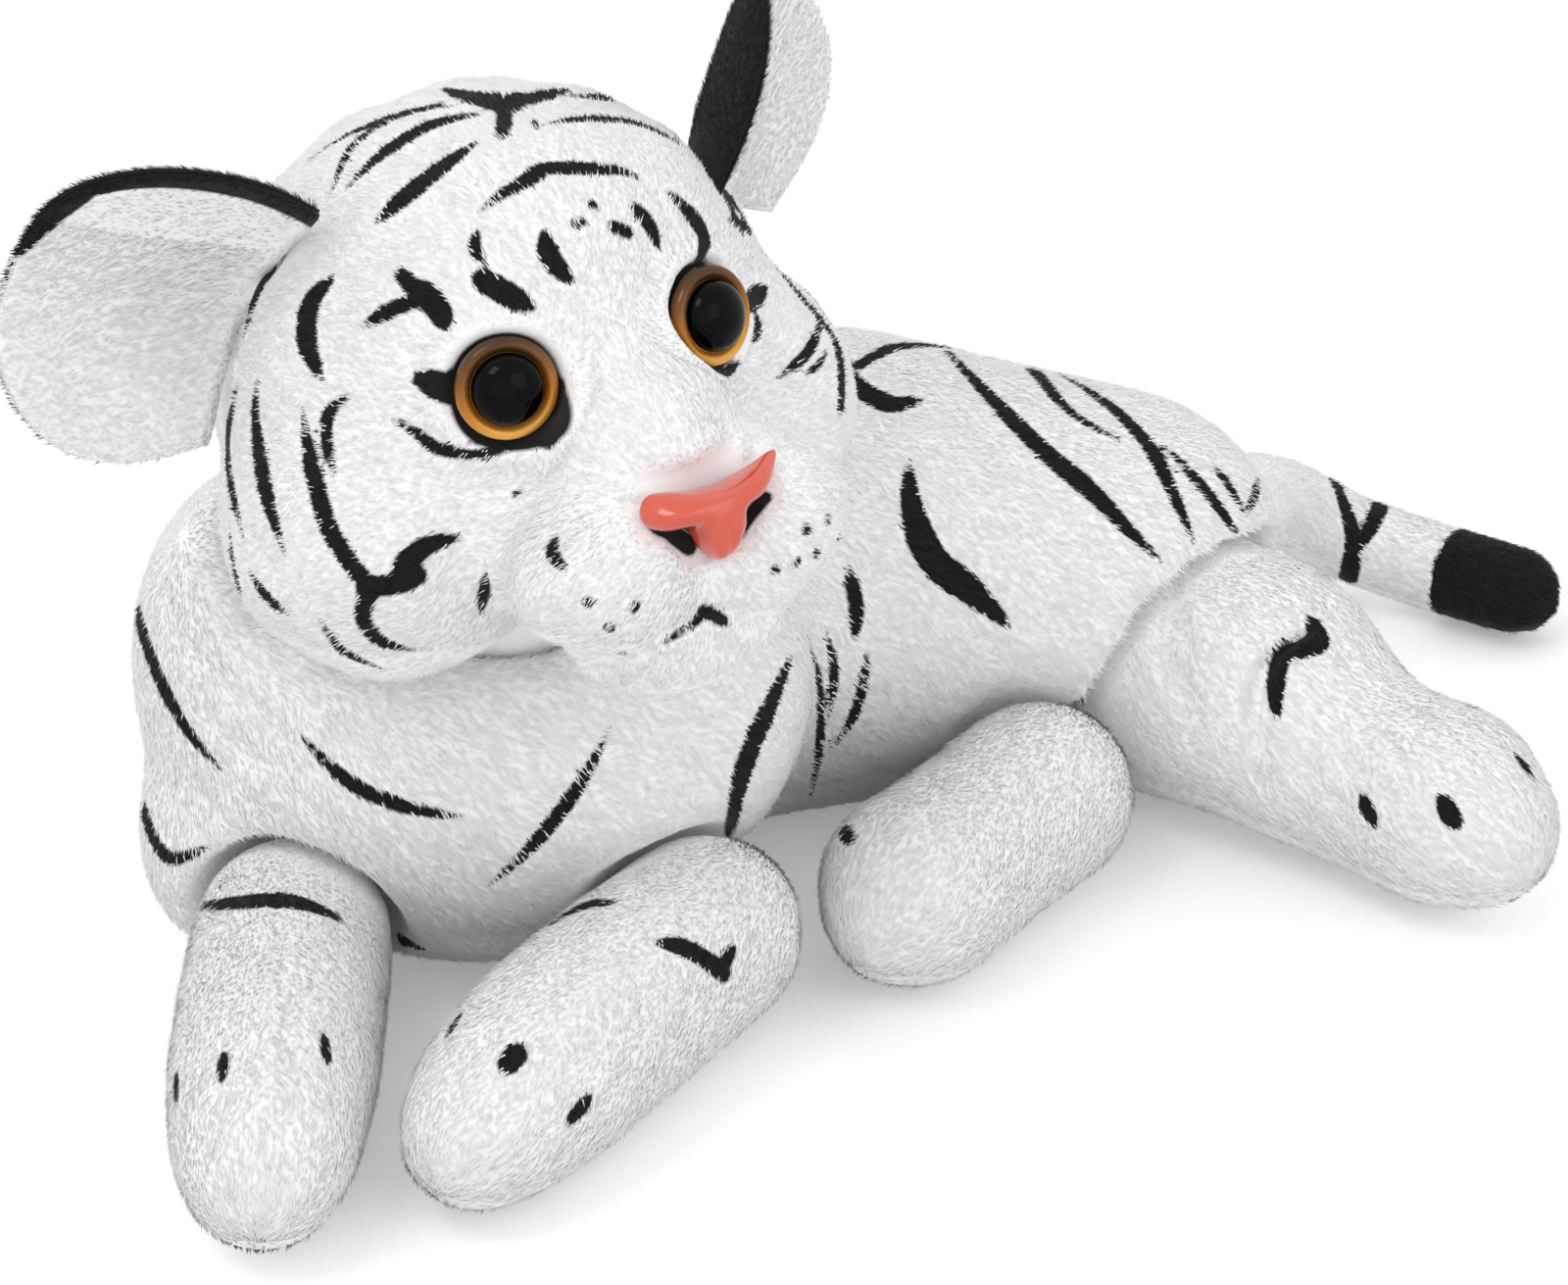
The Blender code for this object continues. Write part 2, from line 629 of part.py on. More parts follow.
def make_eye(side, head_frame, outer):
    """Ring, pupil with its stem, and washer of one eye, and what they cut from the head."""
    sign = 1 if side == "left" else -1
    point = surface_hit(outer, head_frame.translation, head_ray(head_frame, sign * EYE_SPREAD, EYE_RISE))
    outward = head_ray(head_frame, sign * EYE_SPLAY, EYE_TIP_UP)
    frame = facing(point - outward * EYE_SINK, outward, head_frame.to_3x3() @ Vector((0, 0, 1)))
    rim, hole = EYE_DIAMETER / 2, STEM_DIAMETER / 2 + GAP
    lip, pupil = PUPIL_DIAMETER / 2 + GAP, PUPIL_DIAMETER / 2
    recess = EYE_RING_HEIGHT - EYE_RECESS
    outline = [(hole, recess), (lip, recess), (lip, EYE_RING_HEIGHT)]
    for out, high in EYE_RING_ROUND_SHARES:
        outline.append((lip + (rim - lip) * out, EYE_RING_HEIGHT * high))
    outline += [(rim, GAP), (hole, GAP)]
    ring = turned("eye_ring_" + side, outline, 20, frame)
    top, seat = recess + GAP + PUPIL_HEIGHT, recess + GAP
    profile = [(0, top)]
    for k in range(1, 5):
        angle = pi / 2 * k / 5
        profile.append((pupil * sin(angle), seat + PUPIL_HEIGHT * cos(angle) ** PUPIL_FULLNESS))
    profile += [(pupil, seat + PUPIL_HEIGHT * PUPIL_SKIRT_SHARE), (pupil, seat), (STEM_DIAMETER / 2, seat)]
    profile += [(STEM_DIAMETER / 2, -STEM_LENGTH), (0, -STEM_LENGTH)]
    dome = turned("eye_dome_" + side, profile, 20, frame)
    low = -WASHER_DEPTH - WASHER_THICKNESS
    washer = turned("eye_washer_" + side, (
        (WASHER_DIAMETER / 2, -WASHER_DEPTH), (WASHER_DIAMETER / 2, low), (hole, low), (hole, -WASHER_DEPTH),
    ), 12, frame)
    seat_cut = plug("eye_seat_" + side, rim + GAP, OVERRUN / 2, 0, frame, 20)
    stem_cut = plug("eye_stem_" + side, hole, OVERRUN / 2, -STEM_LENGTH - GAP, frame, 8)
    pocket = plug("eye_pocket_" + side, WASHER_DIAMETER / 2 + GAP, GAP - WASHER_DEPTH, low - GAP, frame)
    return ring, dome, washer, (seat_cut, stem_cut, pocket)


def lofted(name, rows, grow, frame):
    """Nose outline at each (height, size) row, grown by a distance and joined into a solid."""
    bm = bmesh.new()
    rings = []
    for height, size in rows:
        ring = []
        for x, y in NOSE_OUTLINE_SHARES:
            spot = Vector((x * NOSE_WIDTH, y * NOSE_HEIGHT, 0)) * size
            spot = spot + spot.normalized() * grow
            spot.z = height
            ring.append(bm.verts.new(spot))
        rings.append(ring)
    for upper, lower in zip(rings, rings[1:]):
        for k in range(len(upper)):
            after = (k + 1) % len(upper)
            bm.faces.new((upper[k], upper[after], lower[after], lower[k]))
    bm.faces.new(rings[0])
    bm.faces.new(rings[-1])
    bmesh.ops.recalc_face_normals(bm, faces=bm.faces)
    bmesh.ops.transform(bm, matrix=frame, verts=bm.verts)
    return object_from(bm, name)


def make_nose(head_frame, outer):
    """Moulded nose with its stem, its washer, and what they cut from the head."""
    turn = head_frame.to_3x3()
    point = surface_hit(outer, head_frame.translation, head_ray(head_frame, 0, NOSE_RISE))
    outward = head_ray(head_frame, 0, NOSE_LEAN)
    frame = facing(point - outward * NOSE_SINK, outward, turn @ Vector((0, 0, 1)))
    rows = [(GAP + (NOSE_DEPTH - GAP) * h, size) for h, size in NOSE_ROUND_SHARES]
    nose = lofted("nose", rows, 0, frame)
    stem = plug("nose_stem", STEM_DIAMETER / 2, NOSE_DEPTH / 2, -STEM_LENGTH, frame, 8)
    combine(nose, stem, "UNION")
    nostrils = []
    for sign in (1, -1):
        bm = bmesh.new()
        bmesh.ops.create_icosphere(bm, subdivisions=2, radius=NOSTRIL_DIAMETER / 2)
        x, y, z = NOSTRIL_PLACE_SHARES
        spot = Vector((sign * x * NOSE_WIDTH, y * NOSE_HEIGHT, z * NOSE_DEPTH))
        bmesh.ops.transform(bm, matrix=frame @ Matrix.Translation(spot), verts=bm.verts)
        nostrils.append(object_from(bm, "nostril"))
    cut(nose, *nostrils)
    drop(stem, *nostrils)
    hole = STEM_DIAMETER / 2 + GAP
    low = -WASHER_DEPTH - WASHER_THICKNESS
    washer = turned("nose_washer", (
        (WASHER_DIAMETER / 2, -WASHER_DEPTH), (WASHER_DIAMETER / 2, low), (hole, low), (hole, -WASHER_DEPTH),
    ), 12, frame)
    seat_cut = lofted("nose_seat", [(0, 1), (NOSE_DEPTH + OVERRUN / 2, 1)], 2 * GAP, frame)
    stem_cut = plug("nose_stem_cut", hole, OVERRUN / 2, -STEM_LENGTH - GAP, frame, 8)
    pocket = plug("nose_pocket", WASHER_DIAMETER / 2 + GAP, GAP - WASHER_DEPTH, low - GAP, frame)
    return nose, washer, (seat_cut, stem_cut, pocket)


def main():
    """Build the tiger."""
    clear_scene()
    up = Vector((0, 0, 1))
    floor = floor_block(2 * (TORSO_LENGTH + TORSO_WIDTH))

    # Torso form, with its lowest corner just under the floor plane
    spine = torso_rows(TORSO_SPINE_SHARES)
    torso_lumps = between(spine, 3) + torso_rows(SHOULDER_SHARES)
    torso = form("torso_outer", torso_lumps, 0, 1100)
    settle = Matrix.Translation((0, 0, -FLAT_DEPTH - lowest(torso)))
    torso.data.transform(settle)
    torso_lumps = moved(torso_lumps, settle)
    torso_fill = form("torso_fill", torso_lumps, SKIN_WALL + STUFFING_GAP, 300)
    limbs = make_limbs()

    # Head form in its own frame, then set on the neck
    head_frame = Matrix.Translation(on_torso(HEAD_PLACE_SHARES, TORSO_HEIGHT + HEAD_ABOVE_TORSO))
    head_frame @= Matrix.Rotation(HEAD_TURN, 4, "Z") @ Matrix.Rotation(-HEAD_LIFT, 4, "X")
    head_frame @= Matrix.Rotation(-HEAD_TILT, 4, "Y")
    head_lumps = moved(lumps_from(HEAD_LUMP_SHARES, HEAD_WIDTH, HEAD_DEPTH, HEAD_HEIGHT), head_frame)
    head = form("head_outer", head_lumps, 0, 1150, eases=14)
    head_fill = form("head_fill", head_lumps, SKIN_WALL + STUFFING_GAP, 300, eases=26)
    hollow = grown(head_fill, STUFFING_GAP, "head_hollow")

    # Neck ball, and the sockets over it
    neck = head_frame.translation - up * NECK_DROP
    nod_axis = head_frame.to_3x3() @ Vector((1, 0, 0))
    nod_axis.z = 0
    nod_axis.normalize()
    neck_ball = facet_ball("neck_ball", neck, NECK_DIAMETER / 2)
    neck_socket = facet_ball("neck_socket", neck, NECK_DIAMETER / 2 / BALL_FLAT_SHARE)

    # The torso is cut by all that moves against it
    sweep = []
    for yaw in np.linspace(*NECK_TURN_RANGE, 7):
        for nod in np.linspace(*HEAD_NOD_RANGE, 3):
            turn = about(neck, up, float(yaw)) @ about(neck, nod_axis, float(nod))
            sweep += moved(head_lumps, turn)
    head_swing = form("head_swing", sweep, -HEAD_CLEARANCE, 340)
    torso_hollow = grown(torso_fill, STUFFING_GAP, "torso_hollow")
    cut(torso, torso_hollow)
    swings = []
    for name, limb in limbs.items():
        swings.append(limb.swept(TAIL_CLEARANCE if name == "tail" else LEG_CLEARANCE))
    for piece in (torso, torso_fill):
        cut(piece, head_swing, neck_socket, *swings)
    cut(torso, floor)
    drop(head_swing, torso_hollow, *swings)

    # Eyes, nose and ears, each seated in the head
    tools = []
    head_pieces = []
    for side in ("left", "right"):
        ring, dome, washer, cutters = make_eye(side, head_frame, head)
        tools += cutters
        head_pieces += [(ring, "amber_plastic"), (dome, "black_plastic"), (washer, "washer_plastic")]
    nose, nose_washer, cutters = make_nose(head_frame, head)
    tools += cutters
    head_pieces += [(nose, "coral_plastic"), (nose_washer, "washer_plastic")]
    hinges = {}
    for side in ("left", "right"):
        lining, back, slot, base, across = make_ear(side, head_frame)
        tools.append(slot)
        hinges[side] = (base, across)
        finish(lining, lining.name, "white_plush", base)
        finish(back, back.name, "ear_plush", base)
    cut(head, hollow, neck_socket, *tools)
    cut(head_fill, neck_socket, *tools)
    drop(hollow, *tools)
    for piece, look in head_pieces:
        finish(piece, piece.name, look, neck, radians(35))

    # Limb skins open towards the middle of the torso beside them
    near = {"front_right": spine[1][0], "front_left": spine[1][0]}
    for name, limb in limbs.items():
        toward = near.get(name, spine[4][0])
        limb.build(Vector((toward.x, toward.y, limb.pivot.z)), floor)

    finish(torso, "torso_skin", "white_plush")
    finish(torso_fill, "torso_stuffing", "stuffing")
    finish(head, "head_skin", "white_plush", neck)
    finish(head_fill, "head_stuffing", "stuffing", neck)
    finish(neck_ball, "neck_stuffing", "stuffing", neck)
    drop(neck_socket, floor)

    for name, limb in limbs.items():
        print(name, "pivot", [round(c, 5) for c in limb.pivot])
    print("neck", [round(c, 5) for c in neck], "nod axis", [round(c, 5) for c in nod_axis])
    for side, (base, across) in hinges.items():
        print("ear", side, [round(c, 5) for c in base], "axis", [round(c, 5) for c in across])
    total = 0
    for obj in bpy.data.objects:
        count = sum(len(p.vertices) - 2 for p in obj.data.polygons)
        total += count
        print(obj.name, count)
    print("triangles", total)


main()
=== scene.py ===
"""Looks of a lying plush tiger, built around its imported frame.

Stuffed cloth skins are pulled over the frame's bodies, a short pile is planted on
them, the printed stripes are laid where the photograph shows them, and moulded
eyes and a nose are set in the head.
"""

import logging
import math
from collections.abc import Callable
from dataclasses import dataclass, field
from enum import Enum

import bmesh
import bpy
import numpy as np
from mathutils import Matrix, Vector
from mathutils.bvhtree import BVHTree


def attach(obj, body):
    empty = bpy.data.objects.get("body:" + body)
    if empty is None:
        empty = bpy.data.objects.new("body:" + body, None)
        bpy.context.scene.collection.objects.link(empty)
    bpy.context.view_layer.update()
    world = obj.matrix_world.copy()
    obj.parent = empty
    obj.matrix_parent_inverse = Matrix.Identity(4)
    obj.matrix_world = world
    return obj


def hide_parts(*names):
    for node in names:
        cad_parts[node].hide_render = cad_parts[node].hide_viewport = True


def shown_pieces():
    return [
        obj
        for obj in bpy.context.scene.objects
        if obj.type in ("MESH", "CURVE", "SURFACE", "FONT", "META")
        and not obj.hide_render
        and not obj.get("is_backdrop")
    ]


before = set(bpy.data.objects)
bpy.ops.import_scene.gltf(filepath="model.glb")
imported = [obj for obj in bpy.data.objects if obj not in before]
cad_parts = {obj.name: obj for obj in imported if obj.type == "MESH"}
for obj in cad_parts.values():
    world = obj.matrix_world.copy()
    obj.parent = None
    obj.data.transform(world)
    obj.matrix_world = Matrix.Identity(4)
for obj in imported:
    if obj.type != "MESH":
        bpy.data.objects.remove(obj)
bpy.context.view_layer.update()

LOG = logging.getLogger("tiger")
MM = 0.001
FLOOR_GAP = 0.6 * MM  # cloth stays this far above the floor
TINY = 1e-12  # keeps a division from running into zero
FAR_OUT = -1.0  # depth in black of a place that is nowhere near any


# ---- Small numeric helpers ----


def unit(rows: np.ndarray) -> np.ndarray:
    """Scale each row to length one: v / |v|."""
    return rows / np.maximum(np.linalg.norm(rows, axis=-1, keepdims=True), TINY)


def ripple(points: np.ndarray, pitch: float, seed: int, waves: int = 7) -> np.ndarray:
    """Smooth noise of about -1 to 1: the mean of sines sin(k.p + phase), |k| about 2 pi / pitch.

    Args:
        points: Places in metres, one a row.
        pitch: Size of a bump in metres.
        seed: Picks the directions and phases.
        waves: How many sines are summed.

    Returns:
        One value a row.
    """
    rng = np.random.default_rng(seed)
    aims = unit(rng.normal(size=(waves, 3))) * (2 * math.pi / pitch)
    aims *= rng.uniform(0.6, 1.5, (waves, 1))
    phases = rng.uniform(0, 2 * math.pi, waves)
    total = np.zeros(len(points))
    for aim, phase in zip(aims, phases):
        total += np.sin(points @ aim + phase)
    return total * math.sqrt(2.0 / waves) * 0.7


def fade(value: np.ndarray, low: float, high: float) -> np.ndarray:
    """Smooth step: 3 t^2 - 2 t^3 of t = (value - low) / (high - low), held in 0 to 1."""
    t = np.clip((value - low) / (high - low), 0, 1)
    return t * t * (3 - 2 * t)


def through(points: np.ndarray, step: float) -> np.ndarray:
    """Smooth curve through points (uniform Catmull-Rom), sampled about every step.

    Args:
        points: The points to pass through, one a row.
        step: Spacing of the samples, in the points' unit.

    Returns:
        The samples, one a row.
    """
    if len(points) == 1:
        return points
    padded = np.vstack([2 * points[0] - points[1], points, 2 * points[-1] - points[-2]])
    out = [points[:1]]
    for a, b, c, d in zip(padded, padded[1:], padded[2:], padded[3:]):
        count = max(1, int(np.ceil(np.linalg.norm(c - b) / step)))
        t = (np.arange(1, count + 1) / count)[:, None]
        bend = 2 * b + (c - a) * t + (2 * a - 5 * b + 4 * c - d) * t**2
        out.append(0.5 * (bend + (3 * b - a - 3 * c + d) * t**3))
    return np.vstack(out)


# ---- The photograph's camera ----


@dataclass(frozen=True)
class Eyepoint:
    """The photograph's camera, on a sphere round the tiger, in its 1600 x 1311 pixels."""

    azimuth: float = 0.0
    elevation: float = 27.0
    target: tuple = (0.0568, -0.0204, 0.0700)
    distance: float = 0.900
    lens: float = 91.125
    sensor: float = 36.0
    width: int = 1600
    height: int = 1311
    clip: tuple = (0.05, 20.0)

    def axes(self) -> tuple:
        """Turn the azimuth and the elevation into an eye and its axes.

        Returns:
            The eye position, and the right, up and forward directions.
        """
        azimuth, elevation = math.radians(self.azimuth), math.radians(self.elevation)
        back = np.array([
            math.sin(azimuth) * math.cos(elevation),
            -math.cos(azimuth) * math.cos(elevation),
            math.sin(elevation),
        ])
        right = np.array([math.cos(azimuth), math.sin(azimuth), 0.0])
        return np.array(self.target) + back * self.distance, right, np.cross(back, right), -back

    def rays(self, pixels: np.ndarray) -> tuple:
        """Rays through pixels: forward f + (x - w/2) right + (h/2 - y) up.

        Args:
            pixels: (x, y) rows in the photograph's pixels.

        Returns:
            The eye position, and one direction a row.
        """
        eye, right, up, forward = self.axes()
        focal = self.lens / self.sensor * self.width
        x, y = pixels[:, :1] - self.width / 2, self.height / 2 - pixels[:, 1:2]
        return eye, unit(forward * focal + right * x + up * y)

    def place(self) -> None:
        """Make the scene's camera here."""
        eye, right, up, forward = self.axes()
        data = bpy.data.cameras.new("photo_camera")
        data.lens, data.sensor_width = self.lens, self.sensor
        data.clip_start, data.clip_end = self.clip
        camera = link_object("photo_camera", data)
        turn = Matrix((right, up, -forward)).transposed().to_4x4()
        camera.matrix_world = Matrix.Translation(eye) @ turn
        bpy.context.scene.camera = camera


# ---- Surfaces ----


def link_object(name: str, data: bpy.types.ID) -> bpy.types.Object:
    """A new object at the origin, in the scene."""
    obj = bpy.data.objects.new(name, data)
    bpy.context.scene.collection.objects.link(obj)
    return obj


def read(items: bpy.types.bpy_prop_collection, key: str, kind: type = float) -> np.ndarray:
    """Three values for each item of a mesh, an item a row."""
    rows = np.empty(len(items) * 3, kind)
    items.foreach_get(key, rows)
    return rows.reshape(-1, 3)


class Surface:
    """A triangulated copy of a mesh as arrays, with a tree for rays and nearest points."""

    def __init__(self, obj: bpy.types.Object) -> None:
        """Read obj's mesh, whose places are already the scene's.

        Args:
            obj: An object at the origin, whose mesh is read.
        """
        mesh = obj.data
        mesh.calc_loop_triangles()
        self.points = read(mesh.vertices, "co")
        self.normals = read(mesh.vertices, "normal")
        self.tris = read(mesh.loop_triangles, "vertices", np.int32)
        self.tree = BVHTree.FromPolygons(self.points.tolist(), self.tris.tolist())
        corners = self.points[self.tris]
        cross = np.cross(corners[:, 1] - corners[:, 0], corners[:, 2] - corners[:, 0])
        self.areas = np.linalg.norm(cross, axis=1) / 2

    def cast(self, eye: np.ndarray, aim: np.ndarray) -> tuple:
        """Distance to the first hit along aim, and the hit, or (inf, None)."""
        hit, _, _, far = self.tree.ray_cast(Vector(eye), Vector(aim))
        return (far, np.array(hit)) if hit is not None else (math.inf, None)

    def holds(self, spot: Vector) -> bool:
        """True where a ray from spot crosses the surface an odd number of times.

        Args:
            spot: The place to test.

        Returns:
            Whether the surface holds it.
        """
        aim, crossings, most = Vector((0.13, 0.21, 0.97)).normalized(), 0, 20
        while crossings < most:
            hit, _, _, _ = self.tree.ray_cast(spot, aim)
            if hit is None:
                break
            spot, crossings = hit + aim * 1e-6, crossings + 1
        return crossings % 2 == 1

    def nearest(self, point: np.ndarray) -> np.ndarray:
        """The closest place on the surface."""
        return np.array(self.tree.find_nearest(Vector(point))[0])

    def scatter(
        self, per_mm2: float, rng: np.random.Generator, weight: np.ndarray | None = None,
    ) -> tuple:
        """Evenly spread random places.

        Args:
            per_mm2: Places on each square millimetre.
            rng: Seeded source.
            weight: Share kept at each vertex, 0 to 1, or None for all.

        Returns:
            Places, unit normals and (triangle corner indices, barycentric weights).
        """
        areas = self.areas if weight is None else self.areas * weight[self.tris].mean(1)
        count = int(areas.sum() / MM**2 * per_mm2)
        ladder = np.cumsum(areas)
        at = (np.arange(count) + rng.uniform(0, 1, count)) / count * ladder[-1]
        tris = self.tris[np.minimum(np.searchsorted(ladder, at), len(areas) - 1)]
        a, b = rng.uniform(0, 1, (2, count))
        root = np.sqrt(a)
        shares = np.stack([1 - root, root * (1 - b), root * b], 1)
        places = (self.points[tris] * shares[:, :, None]).sum(1)
        normals = unit((self.normals[tris] * shares[:, :, None]).sum(1))
        return places, normals, tris, shares


def mesh_object(name: str, points: np.ndarray, faces: list) -> bpy.types.Object:
    """New smooth mesh object at the origin from points and faces."""
    mesh = bpy.data.meshes.new(name)
    mesh.from_pydata(points.tolist(), [], faces)
    mesh.validate()
    mesh.shade_smooth()
    return link_object(name, mesh)


def turn_outwards(obj: bpy.types.Object) -> None:
    """Point the faces of a closed mesh outwards and keep it smooth."""
    bm = bmesh.new()
    bm.from_mesh(obj.data)
    bmesh.ops.recalc_face_normals(bm, faces=bm.faces)
    bm.to_mesh(obj.data)
    bm.free()
    obj.data.shade_smooth()


def pole_faces(rings: int, segments: int) -> list:
    """Faces of a closed shape of rings between two poles: fans at the poles, quads between rings.

    Args:
        rings: How many rings.
        segments: Points of each ring.

    Returns:
        The faces, by point number.
    """
    last = 1 + rings * segments
    faces = []
    for k in range(segments):
        after = (k + 1) % segments
        faces += [[0, 1 + k, 1 + after], [last, last - segments + after, last - segments + k]]
        for low in range(1, 1 + (rings - 1) * segments, segments):
            high = low + segments
            faces.append([low + k, high + k, high + after, low + after])
    return faces


def to_scene(place: Matrix, points: np.ndarray) -> np.ndarray:
    """Points given in a frame, in the scene."""
    return points @ np.array(place.to_3x3()).T + np.array(place.translation)


def to_frame(place: Matrix, points: np.ndarray) -> np.ndarray:
    """Points of the scene, given in a frame."""
    return (points - np.array(place.translation)) @ np.array(place.to_3x3())


def above_floor(points: np.ndarray) -> np.ndarray:
    """The same points, none lower than the cloth's gap over the floor."""
    points[:, 2] = np.maximum(points[:, 2], FLOOR_GAP)
    return points


def set_points(obj: bpy.types.Object, points: np.ndarray) -> None:
    """Write vertex places."""
    obj.data.vertices.foreach_set("co", points.astype(np.float32).ravel())
    obj.data.update()


def set_value(obj: bpy.types.Object, name: str, values: np.ndarray) -> None:
    """Store a float on each vertex."""
    layer = obj.data.attributes.new(name, "FLOAT", "POINT")
    layer.data.foreach_set("value", values.astype(np.float32))


# ---- Finishes ----


def new_material(name: str) -> tuple:
    """A new material, its node tree and its shader."""
    made = bpy.data.materials.new(name)
    made.use_nodes = True
    return made, made.node_tree, made.node_tree.nodes["Principled BSDF"]


def set_inputs(node: bpy.types.Node, values: dict) -> None:
    """Set a node's inputs, each by its name or number."""
    for key, value in values.items():
        node.inputs[key].default_value = value


def add_node(tree: bpy.types.NodeTree, kind: str, values: dict | None = None) -> bpy.types.Node:
    """Add a node of a kind and set its inputs."""
    node = tree.nodes.new(kind)
    set_inputs(node, values or {})
    return node


def wire(tree: bpy.types.NodeTree, *wires: tuple) -> None:
    """Link sockets: each wire is (node, its output, node, its input)."""
    for source, output, target, socket in wires:
        tree.links.new(source.outputs[output], target.inputs[socket])


def add_bump(tree: bpy.types.NodeTree, shader: bpy.types.Node, noise: dict, bump: dict) -> None:
    """Roughen a shader by noise on Object coordinates.

    Args:
        tree: The material's tree.
        shader: The shader to roughen.
        noise: Inputs of the noise.
        bump: Inputs of the bump.
    """
    place = add_node(tree, "ShaderNodeTexCoord")
    grain = add_node(tree, "ShaderNodeTexNoise", noise)
    relief = add_node(tree, "ShaderNodeBump", bump)
    wire(
        tree, (place, "Object", grain, "Vector"), (grain, "Fac", relief, "Height"),
        (relief, "Normal", shader, "Normal"),
    )


@dataclass(frozen=True)
class PlushFinish:
    """Cloth of the skins and its pile."""

    white: tuple = (0.962, 0.965, 0.972)
    shade: tuple = (0.935, 0.940, 0.952)
    black: tuple = (0.012, 0.012, 0.014)
    soot: tuple = (0.020, 0.020, 0.023)
    roughness: float = 0.92
    sheen: float = 0.10
    specular: float = 0.15
    dark_sheen: float = 0.04
    dark_specular: float = 0.06
    weave: float = 0.9 * MM
    ink_edge: float = 0.4

    def _shader(self, name: str) -> tuple:
        """A new material of dull cloth, its tree and its shader."""
        made, tree, shader = new_material(name)
        set_inputs(shader, {
            "Roughness": self.roughness, "Sheen Weight": self.sheen, "Specular IOR Level": self.specular,
        })
        return made, tree, shader

    def _bump(self, tree: bpy.types.NodeTree, shader: bpy.types.Node, size: float, strength: float) -> None:
        """Roughen by lumps of a size in metres."""
        add_bump(
            tree, shader, {"Scale": 1.0 / size, "Detail": 3.0}, {"Strength": strength, "Distance": 0.4 * MM},
        )

    def pile(self, name: str, colour: tuple) -> bpy.types.Material:
        """Finish of the fibres, of one tone; black ones keep little sheen."""
        made, _, shader = self._shader(name)
        set_inputs(shader, {"Base Color": (*colour, 1)})
        if colour in (self.black, self.soot):
            set_inputs(shader, {"Sheen Weight": self.dark_sheen, "Specular IOR Level": self.dark_specular})
        return made

    def cloth(self, name: str) -> bpy.types.Material:
        """Finish of the cloth under the pile: white, and black where "ink" is above zero.

        Args:
            name: Material name.

        Returns:
            The material.
        """
        made, tree, shader = self._shader(name)
        ink = add_node(tree, "ShaderNodeAttribute")
        ink.attribute_name = "ink"
        edge = add_node(tree, "ShaderNodeMapRange", {"From Min": -self.ink_edge, "From Max": self.ink_edge})
        mix = add_node(tree, "ShaderNodeMix")
        mix.data_type = "RGBA"
        set_inputs(mix, {6: (*self.white, 1), 7: (*self.black, 1)})
        wire(tree, (ink, "Fac", edge, "Value"), (edge, "Result", mix, 0), (mix, 2, shader, "Base Color"))
        self._bump(tree, shader, self.weave, 0.3)
        return made

    def stuffing(self, name: str) -> bpy.types.Material:
        """Finish of loose white fibre."""
        made, tree, shader = self._shader(name)
        set_inputs(shader, {"Base Color": (*self.shade, 1)})
        self._bump(tree, shader, 3 * self.weave, 1.0)
        return made


@dataclass(frozen=True)
class MouldedFinish:
    """Hard plastics of the eyes, the nose and the washers.

    A flecked piece has a glossy coat over a faint orange-peel bump of the mould. One
    without fleck has neither, so that it stays deep black.
    """

    coat: float = 0.6
    coat_roughness: float = 0.05
    specular: float = 0.5
    bare_specular: float = 0.10
    metal_coat: float = 0.1
    metal_specular: float = 0.25
    graded_fleck: float = 0.12

    def plain(self, name: str, colour: tuple, roughness: float, fleck: float = 0.0) -> bpy.types.Material:
        """One colour.

        Args:
            name: Material name.
            colour: Linear red, green and blue.
            roughness: Of the base.
            fleck: Strength of the bump.

        Returns:
            The material.
        """
        made, tree, shader = new_material(name)
        set_inputs(shader, {
            "Base Color": (*colour, 1),
            "Roughness": roughness,
            "Coat Weight": self.coat if fleck else 0.0,
            "Coat Roughness": self.coat_roughness,
            "Specular IOR Level": self.specular if fleck else self.bare_specular,
        })
        if fleck:
            add_bump(tree, shader, {"Scale": 900.0}, {"Strength": fleck, "Distance": 0.1 * MM})
        return made

    def painted_shade_ramp(self, name: str, stops: tuple, roughness: float, metallic: float) -> bpy.types.Material:
        """Colour that runs through stops along the piece's "tone" value, painting shade and light into it.

        Args:
            name: Material name.
            stops: (position, colour) pairs, the ramp's first two and then those between.
            roughness: Of the base.
            metallic: Share of metal lustre.

        Returns:
            The material.
        """
        made = self.plain(name, stops[0][1], roughness, self.graded_fleck)
        tree = made.node_tree
        shader = tree.nodes["Principled BSDF"]
        set_inputs(shader, {"Metallic": metallic})
        if metallic:
            set_inputs(shader, {"Coat Weight": self.metal_coat, "Specular IOR Level": self.metal_specular})
        # Painted shade and light: the callers' stops darken as tone rises, so a high tone stands in for shade
        # and a low one for light.
        tone = add_node(tree, "ShaderNodeAttribute")
        tone.attribute_name = "tone"
        ramp = add_node(tree, "ShaderNodeValToRGB")
        for k, (position, colour) in enumerate(stops):
            stop = ramp.color_ramp.elements[k] if k < 2 else ramp.color_ramp.elements.new(position)
            stop.position, stop.color = position, (*colour, 1)
        wire(tree, (tone, "Fac", ramp, "Fac"), (ramp, "Color", shader, "Base Color"))
        return made


# ---- Padded skins ----


